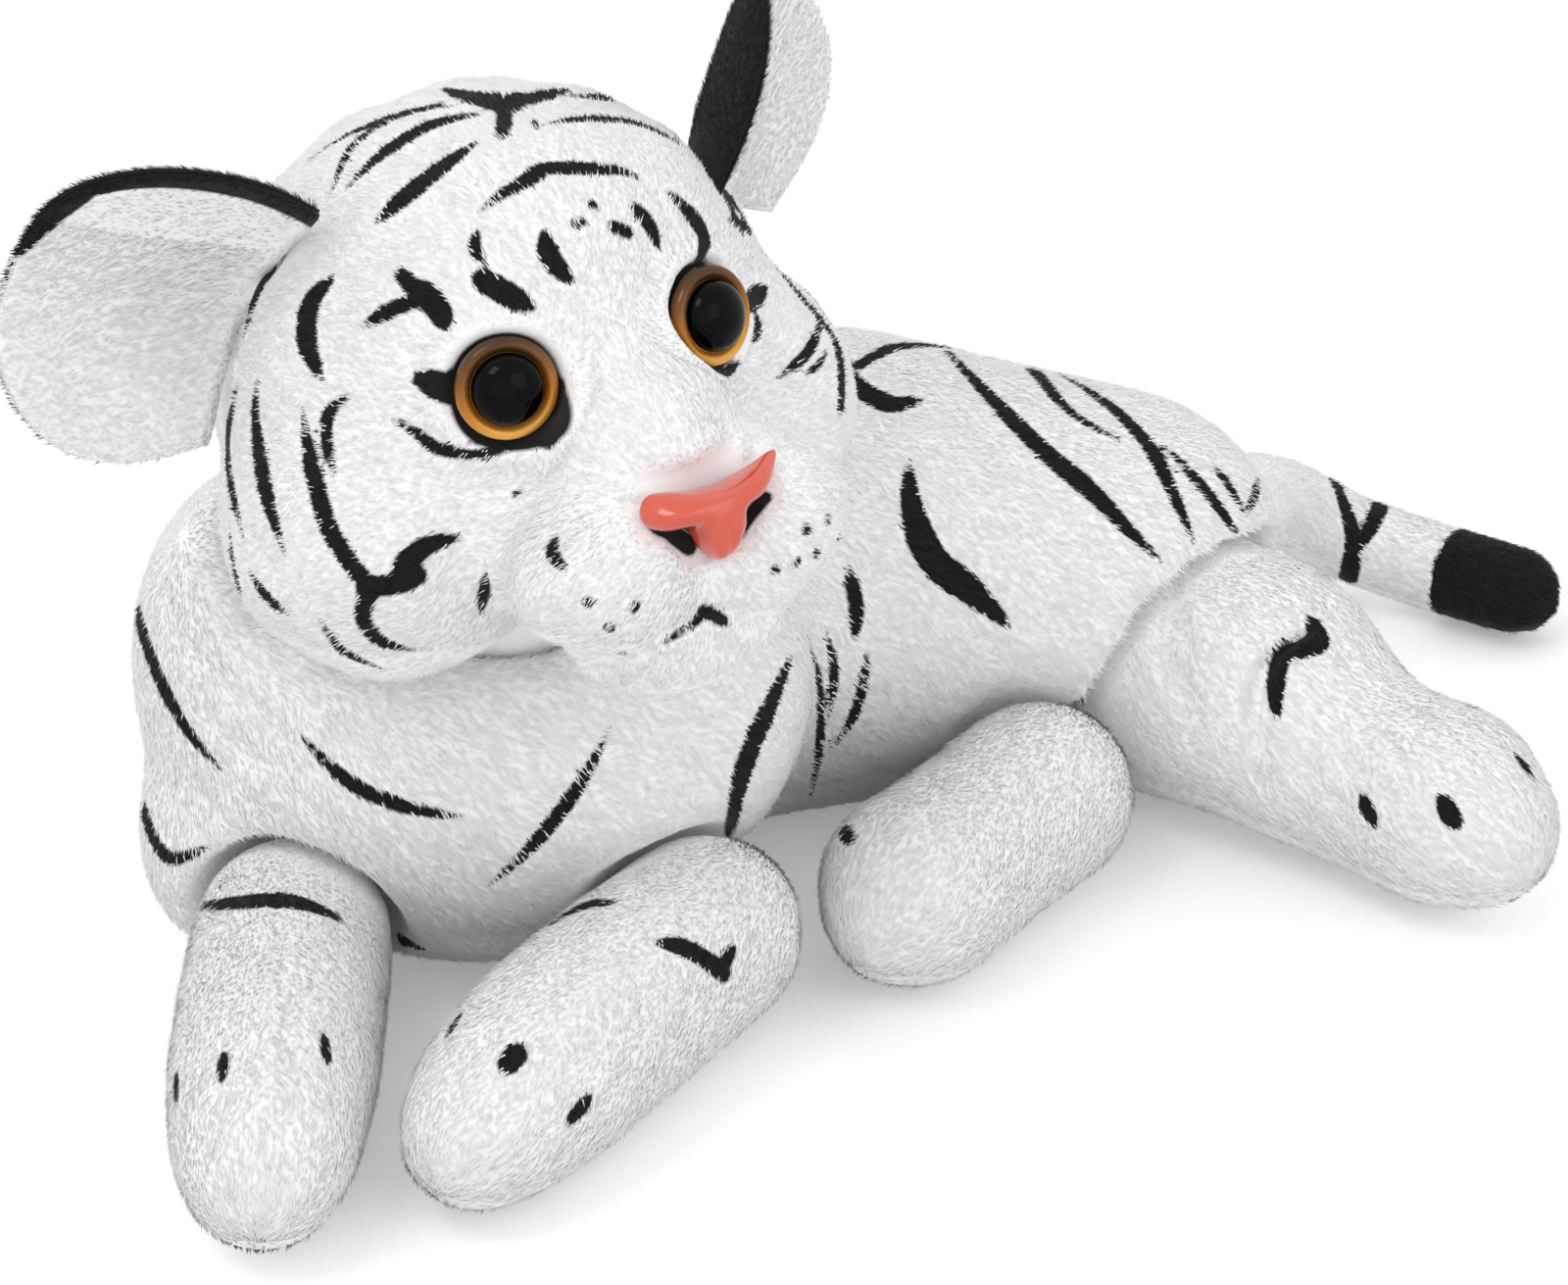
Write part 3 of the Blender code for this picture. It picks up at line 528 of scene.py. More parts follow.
@dataclass
class PaddedSkin:
    """A stuffed cloth form pulled over a body's soft solids, puffed by cloth simulation.

    The cloth is cut on voxels, eased, drawn in by the pile's depth, blown up by the
    pressure and held within the cap of where it was cut. The stuffing first swells by
    overlap millimetres, so that it joins its cover.
    """

    piece: str
    body: str
    nodes: tuple
    voxel: float = 3.6 * MM
    draw_in: float = 2.2 * MM
    cap: float = 1.6 * MM
    levels: int = 1
    eases: int = 5
    weld: float = 0.01 * MM
    overlap: float = 1.8
    quality: int = 5
    pressure: float = 4.0
    fill: float = 0.8
    obj: bpy.types.Object | None = None
    rest: np.ndarray | None = None

    def _joined(self) -> bpy.types.Object:
        """Skin and stuffing as one mesh, the stuffing swollen so that the two overlap.

        Returns:
            The new object, of both meshes.
        """
        bm = bmesh.new()
        for node in self.nodes:
            part = bmesh.new()
            part.from_mesh(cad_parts[node].data)
            bmesh.ops.remove_doubles(part, verts=part.verts, dist=self.weld)
            if node.endswith("stuffing") and len(self.nodes) > 1:
                part.normal_update()
                shifts = [v.normal * self.overlap * MM for v in part.verts]
                for vert, shift in zip(part.verts, shifts):
                    vert.co += shift
            scrap = bpy.data.meshes.new("scrap")
            part.to_mesh(scrap)
            part.free()
            bm.from_mesh(scrap)
            bpy.data.meshes.remove(scrap)
        mesh = bpy.data.meshes.new(self.piece)
        bm.to_mesh(mesh)
        bm.free()
        return link_object(self.piece, mesh)

    def cut_cloth(self) -> None:
        """Remesh the joined solids evenly, ease them and draw them in by the pile's depth."""
        self.obj = self._joined()
        remesh = self.obj.modifiers.new("even", "REMESH")
        remesh.mode, remesh.voxel_size = "VOXEL", self.voxel
        ease = self.obj.modifiers.new("ease", "SMOOTH")
        ease.factor, ease.iterations = 0.5, self.eases
        self.bake()
        self.keep_outside()
        surface = Surface(self.obj)
        self.rest = above_floor(surface.points - surface.normals * self.draw_in)
        set_points(self.obj, self.rest)

    def keep_outside(self) -> None:
        """Drop any closed bubble inside the form and keep its largest shell."""
        bm = bmesh.new()
        bm.from_mesh(self.obj.data)
        left = set(bm.verts)
        shells = []
        while left:
            todo = [left.pop()]
            shell = list(todo)
            while todo:
                for edge in todo.pop().link_edges:
                    for vert in edge.verts:
                        if vert in left:
                            left.discard(vert)
                            shell.append(vert)
                            todo.append(vert)
            shells.append(shell)
        shells.sort(key=len)
        for shell in shells[:-1]:
            bmesh.ops.delete(bm, geom=shell, context="VERTS")
        bm.to_mesh(self.obj.data)
        bm.free()

    def bake(self) -> None:
        """Replace the mesh by what its modifiers make of it."""
        graph = bpy.context.evaluated_depsgraph_get()
        graph.update()
        mesh = bpy.data.meshes.new_from_object(self.obj.evaluated_get(graph))
        self.obj.modifiers.clear()
        self.obj.data = mesh

    def pressurise(self) -> None:
        """Add the cloth that the simulation blows up."""
        cloth = self.obj.modifiers.new("puff", "CLOTH")
        cloth.settings.quality = self.quality
        cloth.settings.use_pressure = True
        cloth.settings.uniform_pressure_force = self.pressure
        cloth.settings.effector_weights.gravity = 0.0
        cloth.collision_settings.use_collision = False

    def settle(self) -> None:
        """Take the simulated shape, cap how far each point went, and subdivide."""
        if self.obj.modifiers:
            self.bake()
            travel = read(self.obj.data.vertices, "co") - self.rest
            far = np.linalg.norm(travel, axis=1, keepdims=True)
            share = np.minimum(1, self.cap / np.maximum(far, TINY))
            set_points(self.obj, above_floor(self.rest + travel * share))
        finer = self.obj.modifiers.new("finer", "SUBSURF")
        finer.levels = finer.render_levels = self.levels
        self.bake()
        self.obj.data.shade_smooth()

    def press(self, offset: np.ndarray) -> None:
        """Move each vertex along its normal by its own offset, and off the floor."""
        surface = Surface(self.obj)
        set_points(self.obj, above_floor(surface.points + surface.normals * offset[:, None]))

    def declare(self, finish: bpy.types.Material) -> None:
        """Dress the finished skin, tie it to its body and hide its nodes."""
        self.obj.data.materials.clear()
        self.obj.data.materials.append(finish)
        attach(self.obj, self.body)
        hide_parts(*self.nodes)


# ---- Stripes ----


class Taper(Enum):
    """Which ends of a stripe run out to a point."""

    BOTH = 0
    START = 1
    END = 2
    NONE = 3

    def share(self, t: np.ndarray, run: float = 0.36, power: float = 0.55) -> np.ndarray:
        """Width share at t from 0 to 1 along the stripe: (t / run)^power, at most 1, from each thin end.

        Args:
            t: Share of the way along.
            run: Length of a thin end, as a share of the whole.
            power: How fast it widens.

        Returns:
            One share a value.
        """
        head = np.clip(t / run, 0, 1) ** power
        tail = np.clip((1 - t) / run, 0, 1) ** power
        if self is Taper.BOTH:
            return np.minimum(head, tail)
        if self is Taper.START:
            return head
        return tail if self is Taper.END else np.ones_like(t)


@dataclass(frozen=True)
class Stroke:
    """A line drawn on the tiger as the photograph's camera sees it, in that camera's pixels.

    width is in millimetres on the cloth, and depth is how far a seam is pulled in. It
    lands on the skins whose names begin with skin, and a mirrored one also on the
    head's other half.
    """

    width: float
    points: tuple
    taper: Taper = Taper.BOTH
    mirrored: bool = False
    depth: float = 0.0
    skin: str = ""


@dataclass
class Print:
    """The strokes that landed on one skin, as line pieces with a half width at each end."""

    starts: list = field(default_factory=list)
    ends: list = field(default_factory=list)
    halves: list = field(default_factory=list)

    def add(self, line: np.ndarray, halves: np.ndarray) -> None:
        """Add a line of points with the half width at each."""
        if len(line) == 1:
            line, halves = np.repeat(line, 2, 0), np.repeat(halves, 2)
        self.starts.append(line[:-1])
        self.ends.append(line[1:])
        self.halves.append(np.stack([halves[:-1], halves[1:]], 1))

    def depth(self, points: np.ndarray) -> np.ndarray:
        """How far inside a stroke each point lies: max over pieces of w(t) - |p - c(t)|.

        Args:
            points: Places, one a row.

        Returns:
            One depth a row, in metres, below zero outside.
        """
        best = np.full(len(points), FAR_OUT)
        for start, end, half in zip(self.starts, self.ends, self.halves):
            reach = half.max() + 3 * MM
            low = np.minimum(start, end).min(0) - reach
            high = np.maximum(start, end).max(0) + reach
            near = np.nonzero(((points > low) & (points < high)).all(1))[0]
            for a, b, (ha, hb) in zip(start, end, half):
                span = b - a
                off = points[near] - a
                t = np.clip(off @ span / max(span @ span, TINY), 0, 1)
                gap = np.linalg.norm(off - t[:, None] * span, axis=1)
                best[near] = np.maximum(best[near], ha + (hb - ha) * t - gap)
        return best


T = Taper


def strokes_on(skin: str, *lines: tuple, mirrored: bool = False) -> tuple:
    """Strokes on one skin, each given as its width, its taper and then its points."""
    return tuple(Stroke(width, tuple(points), taper, mirrored, skin=skin) for width, taper, *points in lines)


STRIPES = (
    *strokes_on(
        "head",
        # Crown
        (5.4, T.START, (450, 90), (485, 100), (518, 110)),
        (4.0, T.END, (512, 110), (545, 100), (582, 90)),
        (4.6, T.NONE, (498, 98), (515, 106), (532, 98)),
        (3.2, T.END, (515, 108), (514, 126), (512, 146)),
        (1.4, T.NONE, (543, 124), (549, 131)),
        (3.0, T.BOTH, (474, 106), (411, 117), (361, 148), (336, 200)),
        (4.0, T.BOTH, (500, 114), (436, 129), (382, 164), (350, 196)),
        (2.6, T.BOTH, (462, 102), (394, 121), (340, 146), (306, 172)),
        (3.2, T.BOTH, (570, 97), (622, 101), (662, 113), (698, 148)),
        (4.4, T.BOTH, (552, 127), (600, 121), (650, 126), (706, 152)),
        (5.2, T.BOTH, (490, 142), (448, 172), (414, 200), (380, 229)),
        # Forehead
        (3.8, T.BOTH, (487, 218), (512, 198), (538, 184), (556, 172), (602, 172), (642, 176), (656, 188)),
        (4.2, T.BOTH, (678, 192), (702, 216), (719, 243), (708, 280)),
        (2.6, T.BOTH, (488, 232), (484, 252), (495, 270)),
        (4.8, T.END, (494, 286), (514, 298), (546, 316)),
        (4.2, T.BOTH, (555, 232), (561, 262), (586, 290)),
        (3.4, T.BOTH, (640, 204), (661, 227), (674, 257)),
        (1.9, T.NONE, (587, 228), (593, 226)),
        (1.8, T.NONE, (604, 208), (608, 211)),
        (2.6, T.NONE, (626, 231), (641, 237)),
        (3.4, T.START, (402, 272), (420, 291), (436, 303)),
        (5.2, T.END, (432, 299), (446, 314), (456, 334)),
        (3.0, T.START, (365, 336), (398, 317), (438, 301)),
        (4.6, T.BOTH, (740, 195), (748, 220), (759, 242)),
        (3.8, T.BOTH, (740, 224), (768, 235), (792, 246)),
        # Temples and cheeks
        (3.0, T.BOTH, (363, 399), (336, 421), (334, 452), (342, 487)),
        (4.6, T.END, (374, 599), (400, 597), (424, 588), (412, 577), (438, 556), (473, 548)),
        (3.4, T.END, (380, 600), (370, 628), (388, 654), (427, 665)),
        (3.0, T.BOTH, (252, 580), (270, 606), (298, 630)),
        (2.6, T.BOTH, (496, 583), (491, 629)),
        (2.8, T.BOTH, (570, 545), (563, 563), (579, 584)),
        (0.9, T.NONE, (532, 500), (524, 506)),
        (2.6, T.BOTH, (396, 423), (424, 441), (452, 459), (516, 467)),
        (2.4, T.BOTH, (838, 318), (832, 345), (818, 366), (792, 387)),
        (1.6, T.BOTH, (845, 355), (835, 372), (818, 384)),
        # Eye corners
        (6.0, T.END, (480, 404), (452, 395), (420, 384)),
        (4.6, T.END, (572, 396), (573, 424), (562, 456)),
        (4.0, T.END, (530, 436), (550, 442), (563, 458)),
        (2.2, T.BOTH, (692, 298), (686, 322), (692, 340)),
        (4.4, T.END, (757, 312), (769, 304), (784, 292)),
        (2.2, T.BOTH, (721, 368), (741, 380), (759, 366)),
        (3.2, T.BOTH, (767, 312), (773, 334), (765, 352)),
        # Under the nose, and the mouth
        (4.4, T.NONE, (670, 535), (684, 544), (702, 556)),
        (3.0, T.NONE, (780, 508), (765, 526), (750, 546)),
        (2.8, T.START, (748, 637), (732, 630), (716, 622)),
        (1.6, T.END, (722, 624), (706, 637), (692, 646), (672, 659)),
        (2.2, T.BOTH, (796, 638), (814, 635), (832, 622)),
        (2.0, T.BOTH, (566, 680), (545, 679), (526, 674)),
    ),
    *strokes_on(
        "head",
        # Temples and cheeks
        (5.2, T.BOTH, (344, 279), (318, 308), (313, 346), (329, 391)),
        (2.8, T.BOTH, (294, 258), (264, 296), (246, 350)),
        (3.4, T.BOTH, (243, 388), (233, 440), (235, 490), (249, 552)),
        (4.2, T.BOTH, (263, 383), (261, 430), (271, 500), (292, 571)),
        (3.8, T.START, (308, 412), (316, 468), (324, 500), (336, 540), (360, 578), (378, 597)),
        (2.4, T.BOTH, (324, 629), (350, 664), (393, 684)),
        (2.6, T.BOTH, (233, 524), (240, 585), (264, 640), (310, 684)),
        mirrored=True,
    ),
    *strokes_on(
        "torso",
        # Shoulder and chest
        (4.8, T.BOTH, (152, 500), (135, 580), (150, 660), (186, 737), (229, 789)),
        (4.8, T.BOTH, (128, 720), (139, 800), (158, 858), (178, 876), (217, 862)),
        (3.4, T.BOTH, (303, 747), (354, 796), (410, 822), (482, 836)),
        (3.4, T.BOTH, (624, 738), (592, 800), (546, 860), (496, 907)),
        (6.4, T.BOTH, (811, 663), (785, 722), (760, 782), (742, 861)),
        (2.6, T.BOTH, (821, 640), (836, 700), (835, 770), (824, 822)),
        (2.6, T.BOTH, (843, 640), (851, 690), (846, 735)),
        (4.0, T.BOTH, (864, 574), (873, 616), (872, 658)),
        (3.0, T.BOTH, (886, 658), (880, 702), (868, 736), (848, 766)),
        # Side and back
        (6.2, T.BOTH, (848, 352), (866, 386), (904, 411), (944, 408)),
        (7.4, T.BOTH, (927, 468), (931, 520), (951, 570), (992, 604), (1034, 643)),
        (5.4, T.BOTH, (944, 334), (1000, 394), (1062, 457), (1112, 500), (1152, 541), (1190, 578)),
        (4.0, T.BOTH, (834, 290), (882, 304), (950, 337)),
        (4.6, T.BOTH, (870, 296), (930, 310), (992, 334), (1050, 374), (1092, 420), (1148, 453)),
        (4.2, T.BOTH, (1050, 366), (1120, 405), (1170, 452), (1200, 510), (1222, 562)),
        (3.4, T.BOTH, (1186, 452), (1230, 500), (1268, 552)),
    ),
    *strokes_on(
        "",
        # Side and back
        (3.0, T.NONE, (119, 920), (127, 928)),
        (3.0, T.NONE, (408, 958), (428, 967)),
        # Tail
        (3.2, T.BOTH, (1235, 472), (1254, 496), (1270, 525)),
        (2.8, T.BOTH, (1285, 485), (1280, 506), (1270, 528)),
        (4.6, T.END, (1420, 488), (1406, 522), (1384, 566)),
    ),
    *strokes_on(
        "front",
        # Front legs
        (6.0, T.BOTH, (199, 926), (240, 921), (288, 919), (326, 928), (354, 943)),
        (5.0, T.BOTH, (556, 948), (592, 926), (632, 920)),
        (4.8, T.START, (666, 961), (702, 969), (738, 992)),
        (3.4, T.END, (736, 990), (750, 964)),
        (2.6, T.BOTH, (229, 1070), (226, 1107)),
        (2.6, T.BOTH, (330, 1052), (335, 1091)),
        (2.4, T.BOTH, (179, 1090), (181, 1132)),
        (2.6, T.BOTH, (397, 1072), (398, 1112)),
        (2.6, T.BOTH, (472, 1030), (454, 1061)),
        (5.0, T.BOTH, (533, 1066), (513, 1095)),
        (3.6, T.BOTH, (605, 1117), (576, 1149)),
    ),
    *strokes_on(
        "hind",
        # Hind legs
        (3.8, T.BOTH, (856, 842), (872, 862)),
        (3.8, T.BOTH, (1388, 808), (1405, 847)),
        (4.8, T.BOTH, (1469, 811), (1488, 847)),
        (2.8, T.BOTH, (1544, 767), (1568, 799)),
        (5.4, T.START, (1334, 626), (1346, 654), (1318, 664)),
        (4.8, T.END, (1336, 655), (1308, 672), (1301, 704), (1304, 737)),
    ),
    *strokes_on(
        "tail",
        # Tail
        (5.2, T.NONE, (1351, 470), (1366, 500), (1380, 545), (1377, 584), (1366, 622)),
    ),
)
SEAMS = (
    Stroke(2.5, ((276, 900), (286, 980), (290, 1060), (291, 1160), (292, 1250)), depth=0.9, skin="front"),
    Stroke(5.0, ((1338, 640), (1300, 668), (1284, 700), (1280, 750), (1288, 806)), depth=2.0, skin="hind"),
    Stroke(9.0, ((1200, 590), (1196, 660), (1214, 740)), depth=0.9, skin="hind"),
    Stroke(3.5, ((722, 566), (722, 592), (719, 618)), depth=1.6, skin="head"),
    Stroke(
        4.5, ((719, 616), (712, 634), (690, 647), (652, 667), (602, 685), (565, 692), (526, 685)),
        depth=1.8, skin="head",
    ),
    Stroke(4.5, ((722, 624), (745, 624), (772, 638), (812, 638), (846, 614)), depth=1.8, skin="head"),
)
WHISKER_DOTS = strokes_on("head", *((2.3, T.NONE, dot) for dot in (
    (600, 614), (622, 640), (648, 619), (634, 666),
    (813, 574), (834, 564), (855, 550), (823, 541), (845, 530), (791, 581),
)))


@dataclass(frozen=True)
class Wrap:
    """Stripes given round a line through a skin, for the sides that the photograph hides.

    A point (s, phi) is cast inwards onto start + s (end - start) along
    zero cos(phi) + quarter sin(phi). Widths and the bleed are in millimetres.
    """

    skin: str
    start: tuple
    end: tuple
    zero: tuple
    quarter: tuple
    strokes: tuple
    both_ways: bool = False
    bleed: float = 0.6
    step: float = 3.0
    outside: float = 0.3

    def lay(self, surface: Surface, prints: Print) -> None:
        """Cast each stroke of (width in mm, (s, degrees) points) onto the skin, mirrored too if both ways.

        Args:
            surface: The skin.
            prints: Where what lands is kept.
        """
        start, end, zero, quarter = (np.array(v) for v in (self.start, self.end, self.zero, self.quarter))
        for width, points in self.strokes:
            line = through(np.array(points, float) * [100, 1], self.step)
            halves = (width + self.bleed) * MM / 2 * Taper.BOTH.share(np.linspace(0, 1, len(line)))
            for way in (1, -1) if self.both_ways else (1,):
                landed = []
                for (station, angle), half in zip(line, halves):
                    turn = math.radians(angle * way)
                    aim = unit(zero * math.cos(turn) + quarter * math.sin(turn))
                    middle = start + (end - start) * station / 100
                    _, hit = surface.cast(middle + aim * self.outside, -aim)
                    if hit is not None:
                        landed.append((hit, half))
                if len(landed) > 1:
                    spots, widths = zip(*landed)
                    prints.add(np.array(spots), np.array(widths))


FAR_SIDE = (
    (5.0, ((0.06, 30), (0.12, 55), (0.11, 80), (0.06, 102))),
    (6.5, ((0.26, 22), (0.32, 48), (0.36, 74), (0.33, 100))),
    (4.5, ((0.46, 50), (0.50, 72), (0.48, 96))),
    (5.5, ((0.40, 16), (0.55, 28), (0.70, 40), (0.86, 58))),
    (3.2, ((0.52, 10), (0.66, 17), (0.80, 27), (0.92, 40))),
    (5.0, ((0.62, 56), (0.70, 76), (0.76, 100))),
    (3.6, ((0.88, 80), (0.92, 98), (0.90, 116))),
)
BACK_OF_HEAD = (
    (4.2, ((0.97, 22), (0.86, 42), (0.74, 58), (0.62, 70))),
    (4.8, ((0.80, 10), (0.70, 30), (0.58, 48), (0.46, 60))),
    (3.8, ((0.58, 9), (0.48, 27), (0.38, 42))),
    (3.2, ((0.36, 12), (0.28, 30), (0.22, 46))),
    (3.4, ((0.99, 0), (0.86, 0), (0.72, 0))),
)


class Printer:
    """Lays strokes on whichever skin the viewer sees them on.

    White fibres lean over a stripe's edges, so each is printed wider by bleed.
    """

    bleed: float = 0.4 * MM
    narrow: float = 0.97
    step: float = 7.0

    def __init__(self, surfaces: dict, head_frame: Matrix) -> None:
        """Keep the skins by name, and the head's frame, in which strokes are mirrored."""
        self.surfaces = surfaces
        self.head_frame = head_frame

    def lay(self, strokes: tuple) -> dict:
        """Cast each stroke and gather what lands on each skin.

        Args:
            strokes: The strokes to lay.

        Returns:
            A Print for each skin's name.
        """
        prints = {name: Print() for name in self.surfaces}
        for stroke in strokes:
            line = through(np.array(stroke.points, float), self.step)
            t = np.linspace(0, 1, len(line)) if len(line) > 1 else np.array([0.5])
            halves = (stroke.width * self.narrow * MM + self.bleed) / 2 * stroke.taper.share(t)
            eye, aims = Eyepoint().rays(line)
            landed = []
            for aim, half in zip(aims, halves):
                hits = [
                    (*surface.cast(eye, aim), name) for name, surface in self.surfaces.items()
                    if name.startswith(stroke.skin)
                ]
                _, hit, name = min(hits, key=lambda h: h[0])
                landed.append((name if hit is not None else None, hit, half))
            self._gather(prints, landed)
            if stroke.mirrored:
                self._gather(prints, [self._across(*spot) for spot in landed])
        return prints

    def _across(self, name: str, hit: np.ndarray, half: float) -> tuple:
        """The same spot on the other half of the head."""
        if name != "head_cloth":
            return None, None, half
        local = self.head_frame.inverted() @ Vector(hit)
        local.x = -local.x
        return name, self.surfaces[name].nearest(self.head_frame @ local), half

    def _gather(self, prints: dict, landed: list) -> None:
        """Split a landed stroke where it passes from skin to skin.

        Args:
            prints: A Print for each skin's name.
            landed: (skin's name or None, place, half width) in order.
        """
        run = []
        for name, hit, half in landed + [(None, None, 0.0)]:
            if run and name != run[0][0]:
                prints[run[0][0]].add(np.array([r[1] for r in run]), np.array([r[2] for r in run]))
                run = []
            if name is not None:
                run.append((name, hit, half))


# ---- Pile ----


@dataclass(frozen=True)
class Pile:
    """Short fibres on a skin: each a closed spike of three sides and a foot.

    A fibre leaves along d = n cos(lean) + t sin(lean), with n the skin's normal and t
    the combed direction in the skin, turned a little by smooth noise so that tufts form.
    """

    per_mm2: float
    length: float = 2.9 * MM
    width: float = 0.50 * MM
    flatness: float = 0.34
    lean: float = 71.0
    lean_spread: float = 5.0
    lean_ripple: float = 3.0
    lean_limits: tuple = (20, 76)
    stray: float = 11.0
    tuft: float = 11.0
    tuft_pitch: float = 9.0 * MM
    length_spread: tuple = (0.72, 1.12)
    width_spread: tuple = (0.8, 1.2)
    root: float = 0.25 * MM
    tip_gap: float = 0.15 * MM
    soft_aim: float = 0.16
    soft_side: float = 0.10
    limit: int = 48000

    def grow(
        self, places: np.ndarray, normals: np.ndarray, flow: np.ndarray, reach: np.ndarray,
        rng: np.random.Generator,
    ) -> tuple:
        """Corner places and shading normals of all fibres.

        Args:
            places: Feet.
            normals: Skin normals.
            flow: Combed direction, not yet in the skin's plane.
            reach: Share of the full length of each.
            rng: Seeded source.

        Returns:
            (N, 4, 3) corners and (N, 4, 3) normals.
        """
        count, pitch = len(places), self.tuft_pitch
        comb = unit(flow - normals * (flow * normals).sum(1, keepdims=True))
        side = np.cross(normals, comb)
        tufts = self.tuft * ripple(places, pitch, 11), 0.6 * self.tuft * ripple(places, 0.4 * pitch, 12)
        turn = np.radians(rng.normal(0, self.stray, count) + tufts[0] + tufts[1])
        comb = comb * np.cos(turn)[:, None] + side * np.sin(turn)[:, None]
        side = np.cross(normals, comb)
        lean = self.lean + rng.normal(0, self.lean_spread, count)
        lean = lean + self.lean_ripple * ripple(places, 0.5 * pitch, 13)
        lean = np.radians(np.clip(lean, *self.lean_limits))
        aim = normals * np.cos(lean)[:, None] + comb * np.sin(lean)[:, None]
        long = (self.length * reach * rng.uniform(*self.length_spread, count))[:, None]
        wide = (self.width * rng.uniform(*self.width_spread, count) / 2)[:, None]
        lift = np.cross(aim, side)
        foot = places - normals * self.root
        corners = np.empty((count, 4, 3))
        for k, angle in enumerate((90, 210, 330)):
            c, s = math.cos(math.radians(angle)), math.sin(math.radians(angle))
            corners[:, k] = foot + wide * (side * c + lift * s * self.flatness)
        corners[:, 3] = foot + aim * long
        corners[:, 3, 2] = np.maximum(corners[:, 3, 2], self.tip_gap)
        soft = unit(normals + self.soft_aim * aim + self.soft_side * side * rng.normal(0, 1, (count, 1)))
        return corners, np.repeat(soft[:, None], 4, 1)

    def pieces(
        self, name: str, corners: np.ndarray, shading: np.ndarray, finishes: tuple, tones: np.ndarray,
    ) -> list:
        """Objects of at most the limit's fibres each.

        Args:
            name: Stem of the piece names.
            corners: (N, 4, 3) places.
            shading: (N, 4, 3) normals.
            finishes: Materials.
            tones: Which material each fibre takes.

        Returns:
            The new objects.
        """
        made = []
        for k, first in enumerate(range(0, len(corners), self.limit)):
            part = slice(first, first + self.limit)
            spots = corners[part].reshape(-1, 3)
            count = len(spots) // 4
            base = (np.arange(count) * 4)[:, None, None]
            faces = (base + np.array([[0, 1, 3], [1, 2, 3], [2, 0, 3], [0, 2, 1]])).reshape(-1)
            mesh = bpy.data.meshes.new(f"{name}_{k + 1}")
            mesh.vertices.add(len(spots))
            mesh.vertices.foreach_set("co", spots.astype(np.float32).ravel())
            mesh.loops.add(len(faces))
            mesh.loops.foreach_set("vertex_index", faces.astype(np.int32))
            mesh.polygons.add(count * 4)
            mesh.polygons.foreach_set("loop_start", np.arange(0, count * 12, 3, dtype=np.int32))
            mesh.polygons.foreach_set("material_index", np.repeat(tones[part], 4).astype(np.int32))
            mesh.update()
            mesh.shade_smooth()
            mesh.normals_split_custom_set_from_vertices(shading[part].reshape(-1, 3).tolist())
            for finish in finishes:
                mesh.materials.append(finish)
            made.append(link_object(mesh.name, mesh))
        return made


